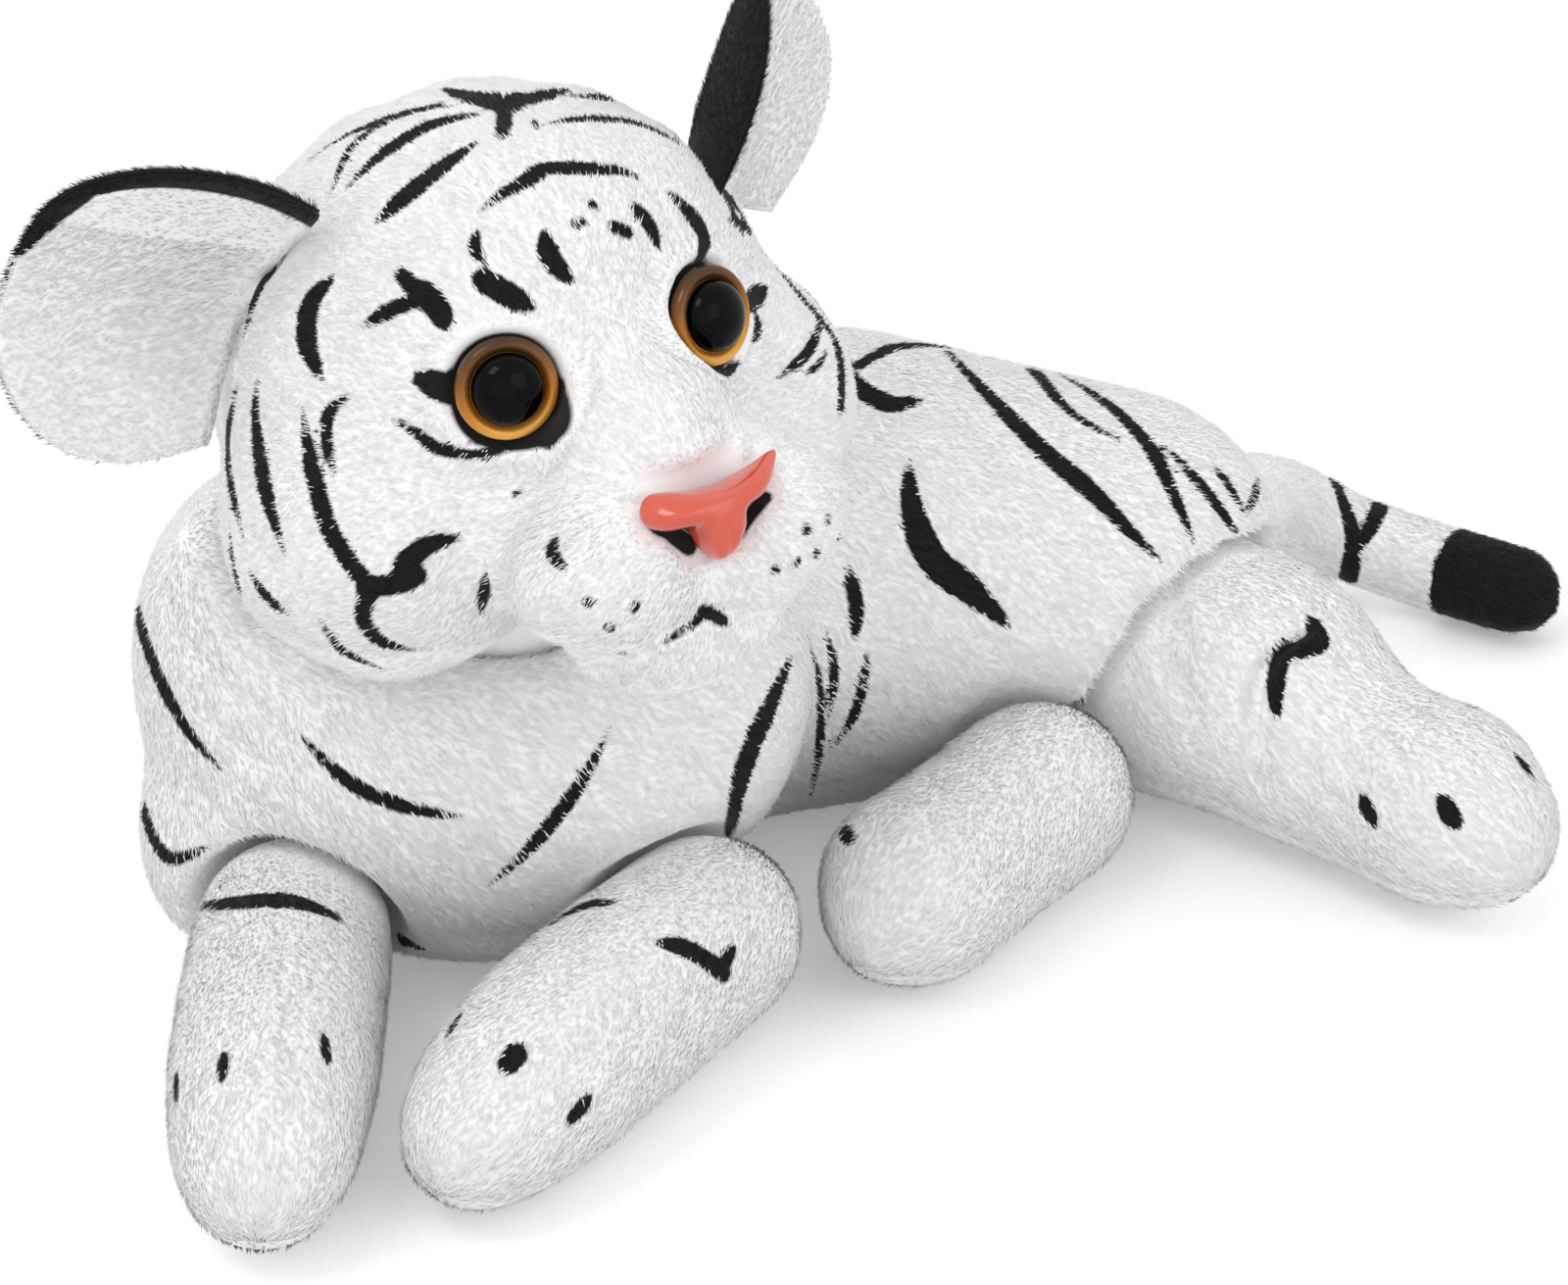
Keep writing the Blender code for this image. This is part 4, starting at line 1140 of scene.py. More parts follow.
@dataclass
class Groomer:
    """Plants the pile on every skin, white or black as the stripes say.

    Few fibres grow where the skin faces down more than under. A fibre that roots
    closer to another skin than closest is left out. One there has near_share of its
    length, and gains open_share by open_at.
    """

    finish: PlushFinish
    surfaces: dict
    under: float = -0.55
    under_share: float = 0.3
    closest: float = 0.5 * MM
    open_at: float = 7 * MM
    near_share: float = 0.42
    open_share: float = 0.58
    tip_clear: float = 0.2 * MM
    ragged: float = 0.30 * MM
    ragged_pitch: float = 2.2 * MM
    speckle: float = 0.20 * MM
    tip_weight: float = 0.6
    shade_share: float = 0.35
    slack: float = 0.35 * MM
    inside_least: float = 0.5 * MM
    cut_least: float = 0.45
    total: int = 0

    def __post_init__(self) -> None:
        """Make the four tones."""
        finish = self.finish
        self.white = (finish.pile("pile_white", finish.white), finish.pile("pile_shade", finish.shade))
        self.black = (finish.pile("pile_black", finish.black), finish.pile("pile_soot", finish.soot))

    def room(self, own: str, probes: np.ndarray, most: float = 8 * MM) -> np.ndarray:
        """Distance from each probe to the nearest other skin, up to most, and below zero inside one.

        Args:
            own: Name of the probes' own skin; the two panels of an ear count as one.
            probes: Places, one a row.
            most: Distances beyond this are given as this.

        Returns:
            One distance a row, in metres.
        """
        best = np.full(len(probes), most)
        for name, surface in self.surfaces.items():
            if name == own or name[:5] == own[:5] in ("ear_l", "ear_r"):
                continue
            low, high = surface.points.min(0) - most, surface.points.max(0) + most
            for k in np.nonzero(((probes > low) & (probes < high)).all(1) & (best > 0))[0]:
                spot = Vector(probes[k])
                hit, normal, _, far = surface.tree.find_nearest(spot)
                if (spot - hit).dot(normal) < 0 and surface.holds(spot):
                    far = -far
                best[k] = min(best[k], far)
        return best

    def cut(
        self, places: np.ndarray, corners: np.ndarray, dark: np.ndarray, foot: np.ndarray, tip: np.ndarray,
    ) -> None:
        """Shorten fibres that cross a stripe's edge: by inside / (inside + past), at least cut_least.

        Args:
            places: Feet.
            corners: (N, 4, 3) corners, whose tips are moved.
            dark: Whether each fibre is black.
            foot: Depth of each foot in a stripe.
            tip: Depth of each tip in a stripe.
        """
        past = np.where(dark, -tip, tip) - self.slack
        inside = np.maximum(np.where(dark, foot, -foot), self.inside_least)
        share = np.clip(inside / (inside + np.maximum(past, 0)), self.cut_least, 1)
        share = np.where(past > 0, share, 1)[:, None]
        corners[:, 3] = places + (corners[:, 3] - places) * share

    def plant(
        self, name: str, body: str, pile: Pile, flow: Callable, ink: Callable,
        reach: Callable | None = None, weight: np.ndarray | None = None, seed: int = 1,
    ) -> None:
        """Grow, colour and place the pile of one skin.

        Args:
            name: The skin's name.
            body: CAD body that it rides on.
            pile: Its density and cut.
            flow: Function of places giving the combed direction.
            ink: Function of places, triangle corners and shares giving depth in a stripe.
            reach: Function of places giving the share of the full length, or None.
            weight: Share kept at each vertex, or None.
            seed: Of the random source.
        """
        rng = np.random.default_rng(seed)
        places, normals, tris, shares = self.surfaces[name].scatter(pile.per_mm2, rng, weight)
        size = np.ones(len(places)) if reach is None else reach(places)
        keep = (normals[:, 2] > self.under) | (rng.uniform(0, 1, len(places)) < self.under_share)
        room = self.room(name, places + normals * MM)
        keep &= (size > 0.05) & (room > self.closest)
        size = size * (self.near_share + self.open_share * fade(room, self.closest, self.open_at))
        places, normals, tris, shares, size = (a[keep] for a in (places, normals, tris, shares, size))
        corners, shading = pile.grow(places, normals, unit(flow(places)), size, rng)
        clear = self.room(name, corners[:, 3], 1 * MM) > self.tip_clear
        places, tris, shares, corners, shading = (a[clear] for a in (places, tris, shares, corners, shading))
        rough = self.ragged * ripple(places, self.ragged_pitch, 21)
        foot = ink(places, tris, shares) + rough
        tip = ink(corners[:, 3], tris, shares) + rough
        seen = (1 - self.tip_weight) * foot + self.tip_weight * tip
        dark = seen + rng.normal(0, self.speckle, len(places)) > 0
        self.cut(places, corners, dark, foot, tip)
        tones = (rng.uniform(0, 1, len(places)) < self.shade_share).astype(int)
        for mask, finishes, stem in ((~dark, self.white, "pile"), (dark, self.black, "stripes")):
            if not mask.any():
                continue
            label = f"{name.replace('_cloth', '')}_{stem}"
            for obj in pile.pieces(label, corners[mask], shading[mask], finishes, tones[mask]):
                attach(obj, body)
        self.total += len(places)
        LOG.info("%s: %d fibres, %d of them black", name, len(places), dark.sum())


# ---- Ears ----


@dataclass(frozen=True)
class Ear:
    """A cupped ear of a lining and a back panel, each a sheet rounded off at its rim.

    Its middle surface is base + outward (t R - s) + across u w(t) W/2 + face C (u^2 w^2 + curl t^2).
    The width share w rises as a sine from the root to the widest row, and past it
    falls as a superellipse. The wall thins out to a rim over the last of each edge.
    """

    side: str
    base: tuple
    rise: float
    swivel: float
    width: float = 69 * MM
    length: float = 46 * MM
    sink: float = 7.5 * MM
    cup: float = 16 * MM
    wall: float = 2.0 * MM
    gap: float = 0.4 * MM
    root: float = 0.84
    widest: float = 0.42
    tip: float = 0.985
    curl: float = 0.35
    crowding: float = 1.7
    roundness: float = 2.3
    rim: float = 0.12
    rim_power: int = 9
    fill: float = 0.3
    rim_ink: float = 0.12
    rim_ink_from: float = 0.05
    rim_ink_run: float = 0.8
    side_ink: float = 0.90
    back_ink: float = -0.12
    back_sweep: float = 2.0
    back_sweep_from: float = 0.6
    columns: int = 44
    rows: int = 34

    def name(self, lining: bool) -> str:
        """Name of one panel."""
        return f"ear_{self.side}_{'lining' if lining else 'back'}"

    def axes(self, turn: Matrix) -> tuple:
        """Outward, across and face directions from the head's turn.

        Args:
            turn: The head's turn.

        Returns:
            The three directions.
        """
        sign = 1 if self.side == "left" else -1
        rise, swivel = math.radians(self.rise), math.radians(self.swivel)
        outward = turn @ Vector((sign * math.cos(rise), 0, math.sin(rise)))
        flat = turn @ Vector((-sign * math.sin(rise), 0, math.cos(rise)))
        ahead = turn @ Vector((0, -1, 0))
        for way in (-sign, sign):
            spin = Matrix.Rotation(way * swivel, 3, outward)
            across, face = spin @ flat, spin @ ahead
            if face.dot(turn @ Vector((sign, 0, 0))) >= 0:
                break
        return np.array(outward), np.array(across), np.array(face)

    def middle(self, turn: Matrix) -> tuple:
        """Grid of the middle surface, its unit normals on the lining's side, and u and t.

        Args:
            turn: The head's turn.

        Returns:
            The grid, its normals, and u and t at each of its points.
        """
        outward, across, face = self.axes(turn)
        ease = 1 - (1 - np.linspace(0, 1, self.rows)) ** self.crowding
        t = np.minimum(ease, self.tip)[:, None]
        u = np.sin(np.linspace(-math.pi / 2, math.pi / 2, self.columns))[None, :]
        rising = self.root + (1 - self.root) * np.sin(math.pi / 2 * t / self.widest)
        past = np.clip((t - self.widest) / (1 - self.widest), 0, 1)
        falling = (1 - past**self.roundness) ** (1 / self.roundness)
        wide = np.where(t < self.widest, rising, falling)
        out = t * (self.length + self.sink) - self.sink + 0 * u
        lift = self.cup * (u**2 * wide**2 + self.curl * t**2)
        grid = np.array(self.base) + outward * out[..., None]
        grid = grid + across * (u * wide * self.width / 2)[..., None] + face * lift[..., None]
        normals = unit(np.cross(np.gradient(grid, axis=1), np.gradient(grid, axis=0)))
        if (normals * face).sum() < 0:
            normals = -normals
        return grid, normals, u + 0 * t, t + 0 * u

    def panel(self, turn: Matrix, lining: bool) -> bpy.types.Object:
        """Build one panel as a closed sheet.

        Args:
            turn: The head's turn.
            lining: True for the lining, False for the back panel.

        Returns:
            The new object, with "ink" and "outer" values on its vertices.
        """
        grid, normals, u, t = self.middle(turn)
        way = 1 if lining else -1
        edge = np.sqrt(np.clip(1 - np.maximum(np.abs(u), t / self.tip) ** self.rim_power, 0, 1))
        near = grid + normals * (way * self.gap / 2)
        far = near + normals * (way * self.wall * (self.rim + (1 - self.rim) * edge))[..., None]
        rows, columns = u.shape
        points = np.concatenate([near.reshape(-1, 3), far.reshape(-1, 3)])
        index = np.arange(rows * columns).reshape(rows, columns)
        quads = []
        for layer in (index, index + rows * columns):
            corners = (layer[:-1, :-1], layer[:-1, 1:], layer[1:, 1:], layer[1:, :-1])
            quads += np.stack(corners, -1).reshape(-1, 4).tolist()
        rim = np.concatenate([index[0], index[1:, -1], index[-1, -2::-1], index[-2:0:-1, 0]]).tolist()
        for low, after in zip(rim, rim[1:] + rim[:1]):
            quads.append([low, after, after + rows * columns, low + rows * columns])
        obj = mesh_object(self.name(lining), points, quads)
        turn_outwards(obj)
        ink = self.ink(u, t, lining).reshape(-1)
        set_value(obj, "ink", np.concatenate([ink, ink]) / MM)
        set_value(obj, "outer", np.concatenate([np.zeros(ink.size), np.ones(ink.size)]))
        return obj

    def ink(self, u: np.ndarray, t: np.ndarray, lining: bool) -> np.ndarray:
        """Depth of black in metres: the back's upper part, and the lining's upper rim.

        The rim's band widens from nothing at u = rim_ink_from to rim_ink of the length,
        and joins the strip beyond side_ink. The back is black beyond u = back_ink, and
        further down towards the tip by the square of t past back_sweep_from.

        Args:
            u: Place across, -1 to 1.
            t: Place along, 0 to 1.
            lining: True for the lining, False for the back panel.

        Returns:
            One depth for each place.
        """
        if lining:
            band = self.rim_ink * np.clip((u - self.rim_ink_from) / self.rim_ink_run, 0, 1)
            band = t / self.tip - 1 + band
            return np.maximum((u - self.side_ink) * self.width / 2, band * self.length)
        sweep = self.back_sweep * np.clip(t / self.tip - self.back_sweep_from, 0, 1) ** 2
        return (u - self.back_ink + sweep) * self.width / 2


# ---- Eyes and nose ----


def lathe(name: str, profile: np.ndarray, segments: int, place: Matrix) -> bpy.types.Object:
    """Closed solid of revolution: (r cos a, r sin a, z) of (r, z) from pole to pole.

    Args:
        name: Name of the piece.
        profile: (r, z) rows, the first and the last on the axis.
        segments: Points of each ring.
        place: Frame of the piece.

    Returns:
        The new object.
    """
    angles = np.linspace(0, 2 * math.pi, segments, endpoint=False)
    rings = profile[1:-1]
    body = np.stack([
        rings[:, :1] * np.cos(angles), rings[:, :1] * np.sin(angles), np.repeat(rings[:, 1:2], segments, 1),
    ], -1).reshape(-1, 3)
    points = np.vstack([[0, 0, profile[0, 1]], body, [0, 0, profile[-1, 1]]])
    return mesh_object(name, to_scene(place, points), pole_faces(len(rings), segments))


def seat(node: str, head: Matrix, facing: tuple, stem: float) -> Matrix:
    """Frame of a moulded piece from the foot of its stem in the frame's own node.

    Args:
        node: CAD node with the stem.
        head: The head's frame.
        facing: Direction that the piece faces, in the head's frame.
        stem: Length of the stem below the frame's origin.

    Returns:
        The frame, +Z outward and +Y up.
    """
    turn = head.to_3x3()
    z = (turn @ Vector(facing)).normalized()
    points = read(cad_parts[node].data.vertices, "co")
    out = np.array(z)
    along = points @ out
    foot = points[along < along.min() + 0.05 * MM]
    x = (turn @ Vector((0, 0, 1))).cross(z).normalized()
    place = Matrix((x, z.cross(x), z)).transposed().to_4x4()
    place.translation = Vector((foot.min(0) + foot.max(0)) / 2 + out * stem)
    return place


@dataclass(frozen=True)
class Eye:
    """A moulded safety eye: an amber ring round a black dome.

    The ring's section runs round its crown as an ellipse of radius to lip, raised
    to the power of 0.8 so that it stays full, with a level bowl within.
    """

    side: str
    splay: float = 16.0
    tip_up: float = 4.0
    radius: float = 10.4 * MM
    lip: float = 7.55 * MM
    crest: float = 3.6 * MM
    foot: float = 0.5 * MM
    shoulder: float = 1.2 * MM
    bowl: float = 2.35 * MM
    stem: float = 10.0 * MM
    stem_radius: float = 2.5 * MM
    dome: float = 7.35 * MM
    dome_foot: float = 2.9 * MM
    dome_height: float = 5.1 * MM
    fur_side: float = 14 * MM
    segments: int = 72

    def place(self, head: Matrix) -> Matrix:
        """The eye's frame, +Z outward and +Y up."""
        sign = 1 if self.side == "left" else -1
        splay, tip = math.radians(sign * self.splay), math.radians(self.tip_up)
        outward = (math.sin(splay) * math.cos(tip), -math.cos(splay) * math.cos(tip), math.sin(tip))
        return seat(f"eye_dome_{self.side}", head, outward, self.stem)

    def around(self, head: Matrix, places: np.ndarray) -> tuple:
        """Distance of places from the axis, their height up across it, and whether they are near the face."""
        local = to_frame(self.place(head), places)
        return np.hypot(local[:, 0], local[:, 1]), local[:, 1], np.abs(local[:, 2]) < self.fur_side

    def ring_section(self) -> np.ndarray:
        """Outline (r, z) of the ring from its foot's middle over the crown to the bowl's middle."""
        sweep = np.radians(np.linspace(-8, 188, 22))
        middle, half = (self.radius + self.lip) / 2, (self.radius - self.lip) / 2
        rise = self.shoulder + (self.crest - self.shoulder) * np.clip(np.sin(sweep), 0, 1) ** 0.8
        crown = np.stack([middle + half * np.cos(sweep), rise], 1)
        bowl = [(self.lip, self.bowl), (self.lip - 0.6 * MM, self.bowl), (0, self.bowl)]
        return np.array([(0, self.foot), (self.radius - 0.3 * MM, self.foot), *crown.tolist(), *bowl])

    def dome_section(self) -> np.ndarray:
        """Outline (r, z) of the dome and its stem: z = foot + height sin(a)^0.95."""
        arc = np.radians(np.linspace(90, 0, 26))
        cap = np.stack([self.dome * np.cos(arc), self.dome_foot + self.dome_height * np.sin(arc) ** 0.95], 1)
        under, shank = self.dome_foot - 0.1 * MM, self.stem_radius
        stem = [(self.dome, under), (shank, under), (shank, -self.stem), (0, -self.stem)]
        return np.array([*cap.tolist(), *stem])

    def build(self, head: Matrix, gold: bpy.types.Material, black: bpy.types.Material) -> None:
        """Make the ring and the dome on the head.

        Args:
            head: The head's frame.
            gold: Finish of the ring, painted darker at its top and brighter at its bottom as shade and light.
            black: Finish of the dome.
        """
        place = self.place(head)
        ring = lathe(f"eye_{self.side}_iris", self.ring_section()[::-1], self.segments, place)
        # Painted shade and light: the ring's tone follows its height, so its top is painted dark brown and
        # its bottom bright gold.
        up = to_frame(place, Surface(ring).points)[:, 1]
        set_value(ring, "tone", up / self.radius * 0.5 + 0.5)
        ring.data.materials.append(gold)
        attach(ring, "head")
        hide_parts(f"eye_ring_{self.side}")
        dome = lathe(f"eye_{self.side}_pupil", self.dome_section(), self.segments, place)
        dome.data.set_sharp_from_angle(angle=math.radians(40))
        dome.data.materials.append(black)
        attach(dome, "head")
        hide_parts(f"eye_dome_{self.side}")


@dataclass(frozen=True)
class Nose:
    """The moulded nose: a broad bar with rounded wings over a narrow stem, pinched at the nostrils."""

    lean: float = 10.0
    width: float = 27.0 * MM
    height: float = 19.0 * MM
    depth: float = 9.0 * MM
    back: float = 0.5 * MM
    stem: float = 10.0 * MM
    outline: tuple = (
        (-0.52, 0.20), (-0.44, 0.34), (-0.30, 0.33), (-0.10, 0.25), (0.14, 0.22), (0.40, 0.27), (0.63, 0.34),
        (0.65, 0.26), (0.48, 0.02), (0.29, -0.13), (0.18, -0.32), (0.05, -0.51), (-0.06, -0.53),
        (-0.15, -0.34), (-0.21, -0.12), (-0.38, -0.06), (-0.49, 0.04),
    )
    heart: tuple = (0.0, 0.03)
    nostril: tuple = (0.29, -0.13)
    nostril_size: tuple = (2.6 * MM, 1.9 * MM)
    nostril_depth: float = 3.0 * MM
    groove: float = 0.9 * MM
    bevel: float = 9 * MM
    bevel_from: float = 0.12
    bow: float = 8 * MM
    spokes: int = 120
    rings: int = 26

    def place(self, head: Matrix) -> Matrix:
        """The nose's frame, +Z outward and +Y up."""
        lean = math.radians(self.lean)
        return seat("nose", head, (0, -math.cos(lean), math.sin(lean)), self.stem)

    def distance(self, head: Matrix, places: np.ndarray) -> np.ndarray:
        """How far outside a bar and a stem that stand for the outline each place is.

        In shares of the half width and the half height, the bar is 1.1 wide, with its
        foot at -0.2 and a top that rises from 0.48 at the middle. The stem runs from -1
        to 1 and widens upwards from 0.45 to 0.8.

        Args:
            head: The head's frame.
            places: Places, one a row.

        Returns:
            One distance a row in metres, and a metre for places far from the face.
        """
        local = to_frame(self.place(head), places)
        x, y = local[:, 0] / self.width * 2, local[:, 1] / self.height * 2
        bar = np.maximum(np.abs(x) / 1.1 - 1, np.maximum(y - 0.48 - 0.18 * np.abs(x), -0.2 - y))
        leg = np.maximum(np.abs(x) / (0.45 + 0.35 * np.clip(y + 1, 0, 1)) - 1, np.abs(y) - 1)
        return np.where(np.abs(local[:, 2]) < 12 * MM, np.minimum(bar, leg) * self.height / 2, 1.0)

    def rim(self) -> np.ndarray:
        """The outline as a smooth closed curve, sampled evenly along its length.

        Returns:
            (x, y) rows, as shares of the width and the height.
        """
        closed = np.array(self.outline + self.outline[:3])
        curve = through(closed, 0.02)
        half = len(curve) // 2
        gap = np.linalg.norm(curve - closed[1], axis=1)
        rim = curve[np.argmin(gap[:half]):half + np.argmin(gap[half:])]
        lengths = np.concatenate([[0], np.cumsum(np.linalg.norm(np.diff(rim, axis=0), axis=1))])
        at = np.linspace(0, lengths[-1], self.spokes, endpoint=False)
        return np.stack([np.interp(at, lengths, rim[:, k]) for k in (0, 1)], 1)

    def relief(self, x: np.ndarray, y: np.ndarray, s: np.ndarray) -> tuple:
        """Height over the back: a crown, less the nostrils, the groove, the bevel and the bow.

        The crown is (1 - s^5)^0.5 of the depth. A nostril is a bell exp(-d^2). The groove
        is a bell down the middle of the lower half. The bevel takes off
        over + (over^2 + 0.03^2)^0.5, with over the share of the height above its line. The
        bow takes off the square of the share of the width. Each is scaled by the crown.

        Args:
            x: Across, in metres.
            y: Up, in metres.
            s: Share of the way out to the rim.

        Returns:
            The height, and the share of a nostril's depth.
        """
        crown = np.clip(1 - s**5, 0, 1) ** 0.5 + 0 * x
        z = self.back + (self.depth - self.back) * crown
        pits = 0 * x
        for sign in (1, -1):
            across = (x - sign * self.nostril[0] * self.width) / self.nostril_size[0]
            up = (y - self.nostril[1] * self.height) / self.nostril_size[1]
            pits = pits + np.exp(-(across**2 + up**2))
        z -= self.nostril_depth * pits * crown
        z -= self.groove * np.exp(-((x / (1.1 * MM)) ** 2)) * fade(-y, 0.5 * MM, 6 * MM) * crown
        over = y / self.height - self.bevel_from
        z -= self.bevel * (over + np.sqrt(over**2 + 0.03**2)) * crown
        z -= self.bow * (x / self.width) ** 2 * crown
        return np.maximum(z, self.back), pits

    def build(self, head: Matrix, finish: bpy.types.Material) -> None:
        """Make the nose from rings that run from its heart out to the rim.

        Args:
            head: The head's frame.
            finish: Finish of the nose, whose colour is darkened in the nostril pits as painted shade.
        """
        s = np.sin(np.linspace(0, math.pi / 2, self.rings + 1))[1:, None]
        heart = np.array(self.heart)
        flat = heart + (self.rim()[None] - heart) * s[..., None]
        x, y = flat[..., 0] * self.width, flat[..., 1] * self.height
        z, pits = self.relief(x, y, s)
        top = np.array([[heart[0] * self.width, heart[1] * self.height, z[0].mean()]])
        points = np.vstack([top, np.stack([x, y, z], -1).reshape(-1, 3), [[0.0, 0.0, self.back]]])
        points = to_scene(self.place(head), points)
        obj = mesh_object("nose_moulded", points, pole_faces(self.rings, self.spokes))
        turn_outwards(obj)
        # Painted shade: the tone, and so the darkness of the colour, grows with the depth of the nostril
        # pits.
        set_value(obj, "tone", np.concatenate([[0], np.clip(1.3 * pits, 0, 1).ravel(), [0]]))
        obj.data.materials.append(finish)
        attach(obj, "head")
        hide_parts("nose")


# ---- The tiger ----


@dataclass(frozen=True)
class FaceForm:
    """Soft forms round the eyes and the nose, and how short the fur is cut there.

    An edge is the pair of distances, from an eye's axis or from the nose's outline,
    over which a form or the fur's cut fades.
    """

    lid: float = 1.6 * MM
    lid_at: float = 13.5 * MM
    lid_width: float = 2.6 * MM
    well: float = 2.2 * MM
    well_edge: tuple = (8 * MM, 12 * MM)
    socket: float = 1.6 * MM
    socket_edge: tuple = (-1 * MM, 2 * MM)
    bridge: float = 2.6 * MM
    bridge_width: float = 8 * MM
    bridge_up: float = 0.62
    bridge_out: float = 1.5 * MM
    uneven: float = 0.5 * MM
    uneven_pitch: float = 24 * MM
    bare_eye: float = 10.6 * MM
    eye_edge: tuple = (10.7 * MM, 16 * MM)
    eye_least: float = 0.35
    bare_nose: float = -0.6 * MM
    nose_edge: tuple = (0.0, 5 * MM)
    nose_least: float = 0.75
    muzzle: tuple = (0, -0.075, -0.02)
    whirl: float = 2.5
    whirl_edge: tuple = (12 * MM, 22 * MM)
    rim_gap: float = 0.5 * MM
    rim_low: dict = field(default_factory=lambda: {"left": 1.0 * MM, "right": 2.0 * MM})
    rim_fade: tuple = (-0.15, 0.9)


def heading(azimuth: float, fall: float) -> np.ndarray:
    """Direction at an azimuth in degrees along the floor, falling by fall."""
    return np.array([math.cos(math.radians(azimuth)), math.sin(math.radians(azimuth)), -fall])


@dataclass
class Tiger:
    """The whole toy: padded skins, ears, eyes, nose and pile.

    legs holds the azimuth in degrees in which each leg's pile is combed.
    """

    form: FaceForm = field(default_factory=FaceForm)
    head_place: tuple = (-0.0028, -0.0488, 0.153)
    head_turn: float = 31.0
    head_lift: float = 9.0
    head_tilt: float = 6.5
    body_comb: tuple = (0.75, 0.35, -0.75)
    tail_path: tuple = (
        (0.1688, 0.0886, 0.048), (0.1774, 0.1116, 0.045), (0.1890, 0.1304, 0.035),
        (0.2077, 0.1404, 0.020), (0.2293, 0.1361, 0.014), (0.2509, 0.1203, 0.014),
    )
    tail_bands: tuple = ((7, 5.0, 4), (15, 4.0, -4), (72, 8.0, 4), (81, 5.0, -5))
    tail_tip: float = 20 * MM
    legs: dict = field(default_factory=lambda: {
        "front_right_leg": -88.0, "front_left_leg": -121.5, "hind_right_leg": -125.0, "hind_left_leg": -45.0,
    })
    puff_frames: int = 20

    def __post_init__(self) -> None:
        """Work out the head's frame and list the skins."""
        self.head = Matrix.Translation(self.head_place)
        for angle, axis in ((self.head_turn, "Z"), (-self.head_lift, "X"), (-self.head_tilt, "Y")):
            self.head @= Matrix.Rotation(math.radians(angle), 4, axis)
        self.turn = self.head.to_3x3()
        self.eyes = [Eye("left"), Eye("right")]
        self.nose = Nose()
        self.ears = [
            Ear("left", (0.03822, -0.01263, 0.18112), 64.0, 46.0),
            Ear("right", (-0.05879, -0.07187, 0.17596), 30.0, 24.0),
        ]
        voxels = {"head": 3.2, "torso": 4.2, **{leg: 3.2 for leg in self.legs}, "tail": 2.6}
        self.skins = [
            PaddedSkin(f"{body}_cloth", body, (f"{body}_skin", f"{body}_stuffing"), voxel=voxel * MM)
            for body, voxel in voxels.items()
        ]
        self.neck = PaddedSkin("neck_filling", "neck", ("neck_stuffing",), draw_in=0.8 * MM, cap=0.4 * MM)
        self.surfaces = {}
        self.prints = {}

    def stuff(self) -> None:
        """Cut the cloth of every skin, blow all up together and settle them."""
        everyone = [*self.skins, self.neck]
        for skin in everyone:
            skin.cut_cloth()
        for skin in everyone:
            skin.pressurise()
        for step in range(1, self.puff_frames + 1):
            bpy.context.scene.frame_set(step)
        for skin in everyone:
            skin.settle()
        bpy.context.scene.frame_set(1)
        LOG.info("skins settled")

    def eye_distance(self, places: np.ndarray) -> np.ndarray:
        """Distance from the nearer eye's axis, or far away behind the face."""
        best = np.full(len(places), 1.0)
        for eye in self.eyes:
            ring, _, near = eye.around(self.head, places)
            best = np.where(near, np.minimum(best, ring), best)
        return best

    def eye_rim(self, places: np.ndarray) -> np.ndarray:
        """Depth in the black fur round each eye, a hair above it and broad below.

        Args:
            places: Places, one a row.

        Returns:
            One depth a row, in metres.
        """
        best = np.full(len(places), FAR_OUT)
        for eye in self.eyes:
            ring, up, near = eye.around(self.head, places)
            low = fade(-up / np.maximum(ring, MM), *self.form.rim_fade)
            band = eye.radius + self.form.rim_gap + self.form.rim_low[eye.side] * low - ring
            best = np.where(near, np.maximum(best, band), best)
        return best

    def shape_head(self) -> None:
        """Press the eyes' wells and lids, the nose's socket and bridge and slight unevenness into the head.

        A lid and the bridge are bells exp(-d^2) over their distance; a well and the
        socket are flat and fade out at their edges.
        """
        head, form = self.skins[0], self.form
        points = Surface(head.obj).points
        away, around = self.eye_distance(points), self.nose.distance(self.head, points)
        lid = form.lid * np.exp(-(((away - form.lid_at) / form.lid_width) ** 2))
        well = -form.well * (1 - fade(away, *form.well_edge))
        socket = -form.socket * (1 - fade(around, *form.socket_edge))
        bridge = self.nose.place(self.head) @ Vector((0, form.bridge_up * self.nose.height, form.bridge_out))
        gap = np.linalg.norm(points - np.array(bridge), axis=1)
        socket = socket + form.bridge * np.exp(-((gap / form.bridge_width) ** 2))
        uneven = form.uneven * ripple(points, form.uneven_pitch, 31)
        head.press(lid + well + socket + uneven)

    def comb_face(self, places: np.ndarray) -> np.ndarray:
        """Back from the nose, and away from each eye near it."""
        out = unit(places - np.array(self.head @ Vector(self.form.muzzle))) + np.array([0, 0, -0.25])
        for eye in self.eyes:
            away = places - np.array(eye.place(self.head).translation)
            near = 1 - fade(np.linalg.norm(away, axis=1), *self.form.whirl_edge)
            out = out + self.form.whirl * near[:, None] * unit(away)
        return out

    def comb_tail(self, places: np.ndarray) -> np.ndarray:
        """Towards the tail's tip, along its path."""
        path = through(np.array(self.tail_path), 4 * MM)
        nearest = np.argmin(np.linalg.norm(places[:, None] - path[None, :-1], axis=2), axis=1)
        return unit(np.diff(path, axis=0))[nearest] + np.array([0, 0, -0.2])

    def comb(self, body: str, places: np.ndarray) -> np.ndarray:
        """Combed direction of the pile at places on a body."""
        if body == "head":
            return self.comb_face(places)
        if body == "tail":
            return self.comb_tail(places)
        way = heading(self.legs[body], 0.45) if body in self.legs else np.array(self.body_comb)
        return way + 0 * places

